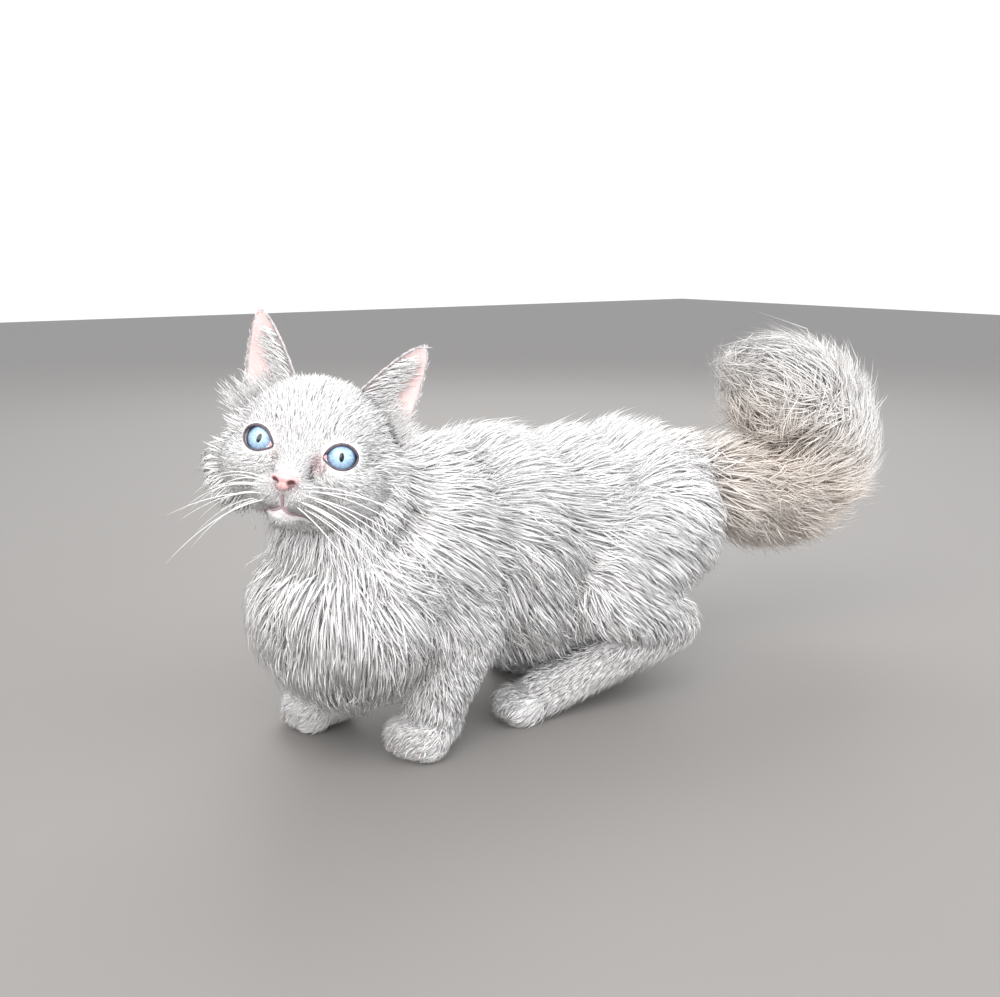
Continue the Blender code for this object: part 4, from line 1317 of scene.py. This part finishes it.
class KITTEN_OT_whiskers(Operator):
    """Draws the long drooping whiskers and those over the eyes"""

    bl_idname = "kitten.whiskers"
    bl_label = "Whiskers"

    def execute(self, context):
        dice = np.random.default_rng(SEED + 50)
        surface = KEPT["surface"]
        longest, width = size("whisker_length") / MM, size("whisker_width") / MM
        lines = []
        for side in (1, -1):
            for row, column in product(range(WHISKER_ROWS), range(WHISKER_COLUMNS)):
                root = surface.front(side * (5.0 + 2.3 * column), -13.6 - 2.1 * row - 0.3 * column)
                out, ahead, up = 1.0 + 0.2 * column, -0.1 * side + 0.28 * column, 0.34 - 0.22 * row
                way = Vector((side * out, ahead, up)) + Vector(dice.normal(0, 0.07, 3))
                way = HEAD_TURNED @ way
                # Those on the right are shorter.
                reach = longest * (0.9 + 0.1 * side) * dice.uniform(0.62, 1.0) * (1 - 0.08 * column)
                self.add(lines, root, way, reach, width, dice)
            for column in range(BROW_WHISKERS):
                root = surface.front(side * (9.0 + 2.4 * column), 12.5 + 0.6 * column)
                way = HEAD_TURNED @ Vector((side * (0.35 + 0.25 * column), -0.35, 1.0))
                self.add(lines, root, way, longest * dice.uniform(0.35, 0.5), width * 0.7, dice)
        whites = (0.93, 0.92, 0.91), (0.85, 0.84, 0.83)
        white = mottled("whisker", 0.3, 60.0, *whites, Specular_IOR_Level=0.5)
        settle(tubes("whiskers", lines, 5), white, "white_coat")
        return {"FINISHED"}

    def add(self, lines, root, way, length, width, dice):
        """One whisker from its root, which droops towards its tip."""
        t = np.linspace(0, 1, 14)
        way = np.array(way.normalized())
        path = np.array(root)[None] + (t[:, None] - 0.03) * way * length
        path[:, 2] -= length * dice.uniform(0.3, 0.62) * t**1.9
        lines.append((path, width * (1 - t) ** 0.8 * 0.5 + 0.035))


LENGTHWAYS = (-200.0, 400.0)
COATS = {                       # name: zones, reach along the body, tufts, rings, spacing of locks
    "body": (
        ("coat_breast", ("trunk",), (-200, 18), 10000, 3, 9.0),
        ("coat_flank", ("trunk",), (18, 82), 10000, 3, 10.0),
        ("coat_rump", ("trunk",), (82, 400), 10000, 3, 10.0),
        ("coat_neck", ("neck",), LENGTHWAYS, 6500, 3, 9.0),
    ),
    "head": (
        ("coat_cheeks", ("cheek",), LENGTHWAYS, 5300, 3, 6.0),
        ("coat_crown", ("crown",), LENGTHWAYS, 7700, 2, 0),
        ("coat_face", ("face",), LENGTHWAYS, 10200, 2, 0),
        ("coat_muzzle", ("muzzle",), LENGTHWAYS, 5600, 2, 0),
    ),
    "leg": (
        ("coat_forelegs", ("foreleg",), LENGTHWAYS, 5000, 3, 5.0),
        ("coat_forepaws", ("forepaw",), LENGTHWAYS, 6200, 2, 0),
        ("coat_thighs", ("thigh", "shank"), LENGTHWAYS, 5800, 3, 7.0),
        ("coat_hindfeet", ("hindfoot",), LENGTHWAYS, 6400, 2, 0),
    ),
    "tail": (
        ("coat_tail_base", ("tail",), (-200, 228), 5800, 3, 8.0),
        ("coat_tail_end", ("tail",), (228, 400), 8200, 3, 7.0),
    ),
}


def grow_group(group):
    """Grows the coat pieces of a group."""
    for number, (name, *details) in enumerate(COATS[group]):
        seed = SEED + 7 * number + 100 * list(COATS).index(group)
        dress(grow(KEPT["surface"], name, *details, seed), KEPT["coat"])


class KITTEN_OT_body_coat(Operator):
    """Grows the long coat of the trunk and the ruff"""

    bl_idname = "kitten.body_coat"
    bl_label = "Body coat"

    def execute(self, context):
        grow_group("body")
        return {"FINISHED"}


class KITTEN_OT_head_coat(Operator):
    """Grows the short fur of the face and the longer fur of the cheeks"""

    bl_idname = "kitten.head_coat"
    bl_label = "Head coat"

    def execute(self, context):
        grow_group("head")
        return {"FINISHED"}


class KITTEN_OT_leg_coat(Operator):
    """Grows the fur of the legs and paws"""

    bl_idname = "kitten.leg_coat"
    bl_label = "Leg coat"

    def execute(self, context):
        grow_group("leg")
        return {"FINISHED"}


class KITTEN_OT_tail_coat(Operator):
    """Grows the long cream hair of the tail"""

    bl_idname = "kitten.tail_coat"
    bl_label = "Tail coat"

    def execute(self, context):
        grow_group("tail")
        return {"FINISHED"}


class KITTEN_OT_studio(Operator):
    """Sets the floor, the soft light and the camera"""

    bl_idname = "kitten.studio"
    bl_label = "Studio"

    def execute(self, context):
        deselect()
        bpy.ops.mesh.primitive_plane_add(size=1.0)
        floor = bpy.context.active_object
        floor.name = "floor"
        floor.data.transform(Matrix.Scale(FLOOR_WIDTH, 4))
        tones = shade("floor"), tuple(c * 0.96 for c in shade("floor"))
        material = mottled("floor", 0.55, 6.0, *tones, Specular_IOR_Level=0.2)
        floor.data.materials.append(material)
        world = context.scene.world or bpy.data.worlds.new("studio")
        context.scene.world = world
        world.use_nodes = True
        sky = world.node_tree.nodes["Background"].inputs
        sky["Color"].default_value, sky["Strength"].default_value = SKY, SKY_STRENGTH
        for name, place, power, spread, colour in LIGHTS:
            light = bpy.data.lights.new(name, "AREA")
            light.energy, light.size, light.color = power, spread, colour
            lamp = bpy.data.objects.new(name, light)
            context.scene.collection.objects.link(lamp)
            lamp.location = place
            lamp.rotation_euler = (LIT_POINT - Vector(place)).to_track_quat("-Z", "Y").to_euler()
        view = bpy.data.cameras.new("camera")
        view.lens, view.sensor_width = LENS, SENSOR
        camera = bpy.data.objects.new("camera", view)
        context.scene.collection.objects.link(camera)
        camera.location, camera.rotation_euler = to_model(CAMERA_PLACE), CAMERA_ANGLES
        context.scene.camera = camera
        context.scene.view_settings.view_transform = "Standard"
        return {"FINISHED"}


class KITTEN_PT_sidebar(Panel):
    """Lists the pieces of the kitten"""

    bl_label = "Kitten"
    bl_idname = "KITTEN_PT_sidebar"
    bl_space_type = "VIEW_3D"
    bl_region_type = "UI"
    bl_category = "Kitten"

    def draw(self, context):
        for operator in OPERATORS:
            self.layout.operator(operator.bl_idname)


OPERATORS = (
    KITTEN_OT_skin, KITTEN_OT_eyes, KITTEN_OT_lids, KITTEN_OT_nose, KITTEN_OT_mouth,
    KITTEN_OT_ears, KITTEN_OT_claws, KITTEN_OT_whiskers, KITTEN_OT_body_coat, KITTEN_OT_head_coat,
    KITTEN_OT_leg_coat, KITTEN_OT_tail_coat, KITTEN_OT_ear_coat, KITTEN_OT_studio,
)


def register():
    for made in (KittenSizes, KittenColours, *OPERATORS, KITTEN_PT_sidebar):
        bpy.utils.register_class(made)
    bpy.types.Scene.kitten_sizes = PointerProperty(type=KittenSizes)
    bpy.types.Scene.kitten_colours = PointerProperty(type=KittenColours)


def unregister():
    del bpy.types.Scene.kitten_colours
    del bpy.types.Scene.kitten_sizes
    for made in (KITTEN_PT_sidebar, *reversed(OPERATORS), KittenColours, KittenSizes):
        bpy.utils.unregister_class(made)


def main():
    register()
    KEPT["coat"] = coat_finish()
    for operator in OPERATORS:
        group, name = operator.bl_idname.split(".")
        getattr(getattr(bpy.ops, group), name)()


if __name__ == "__main__":
    main()
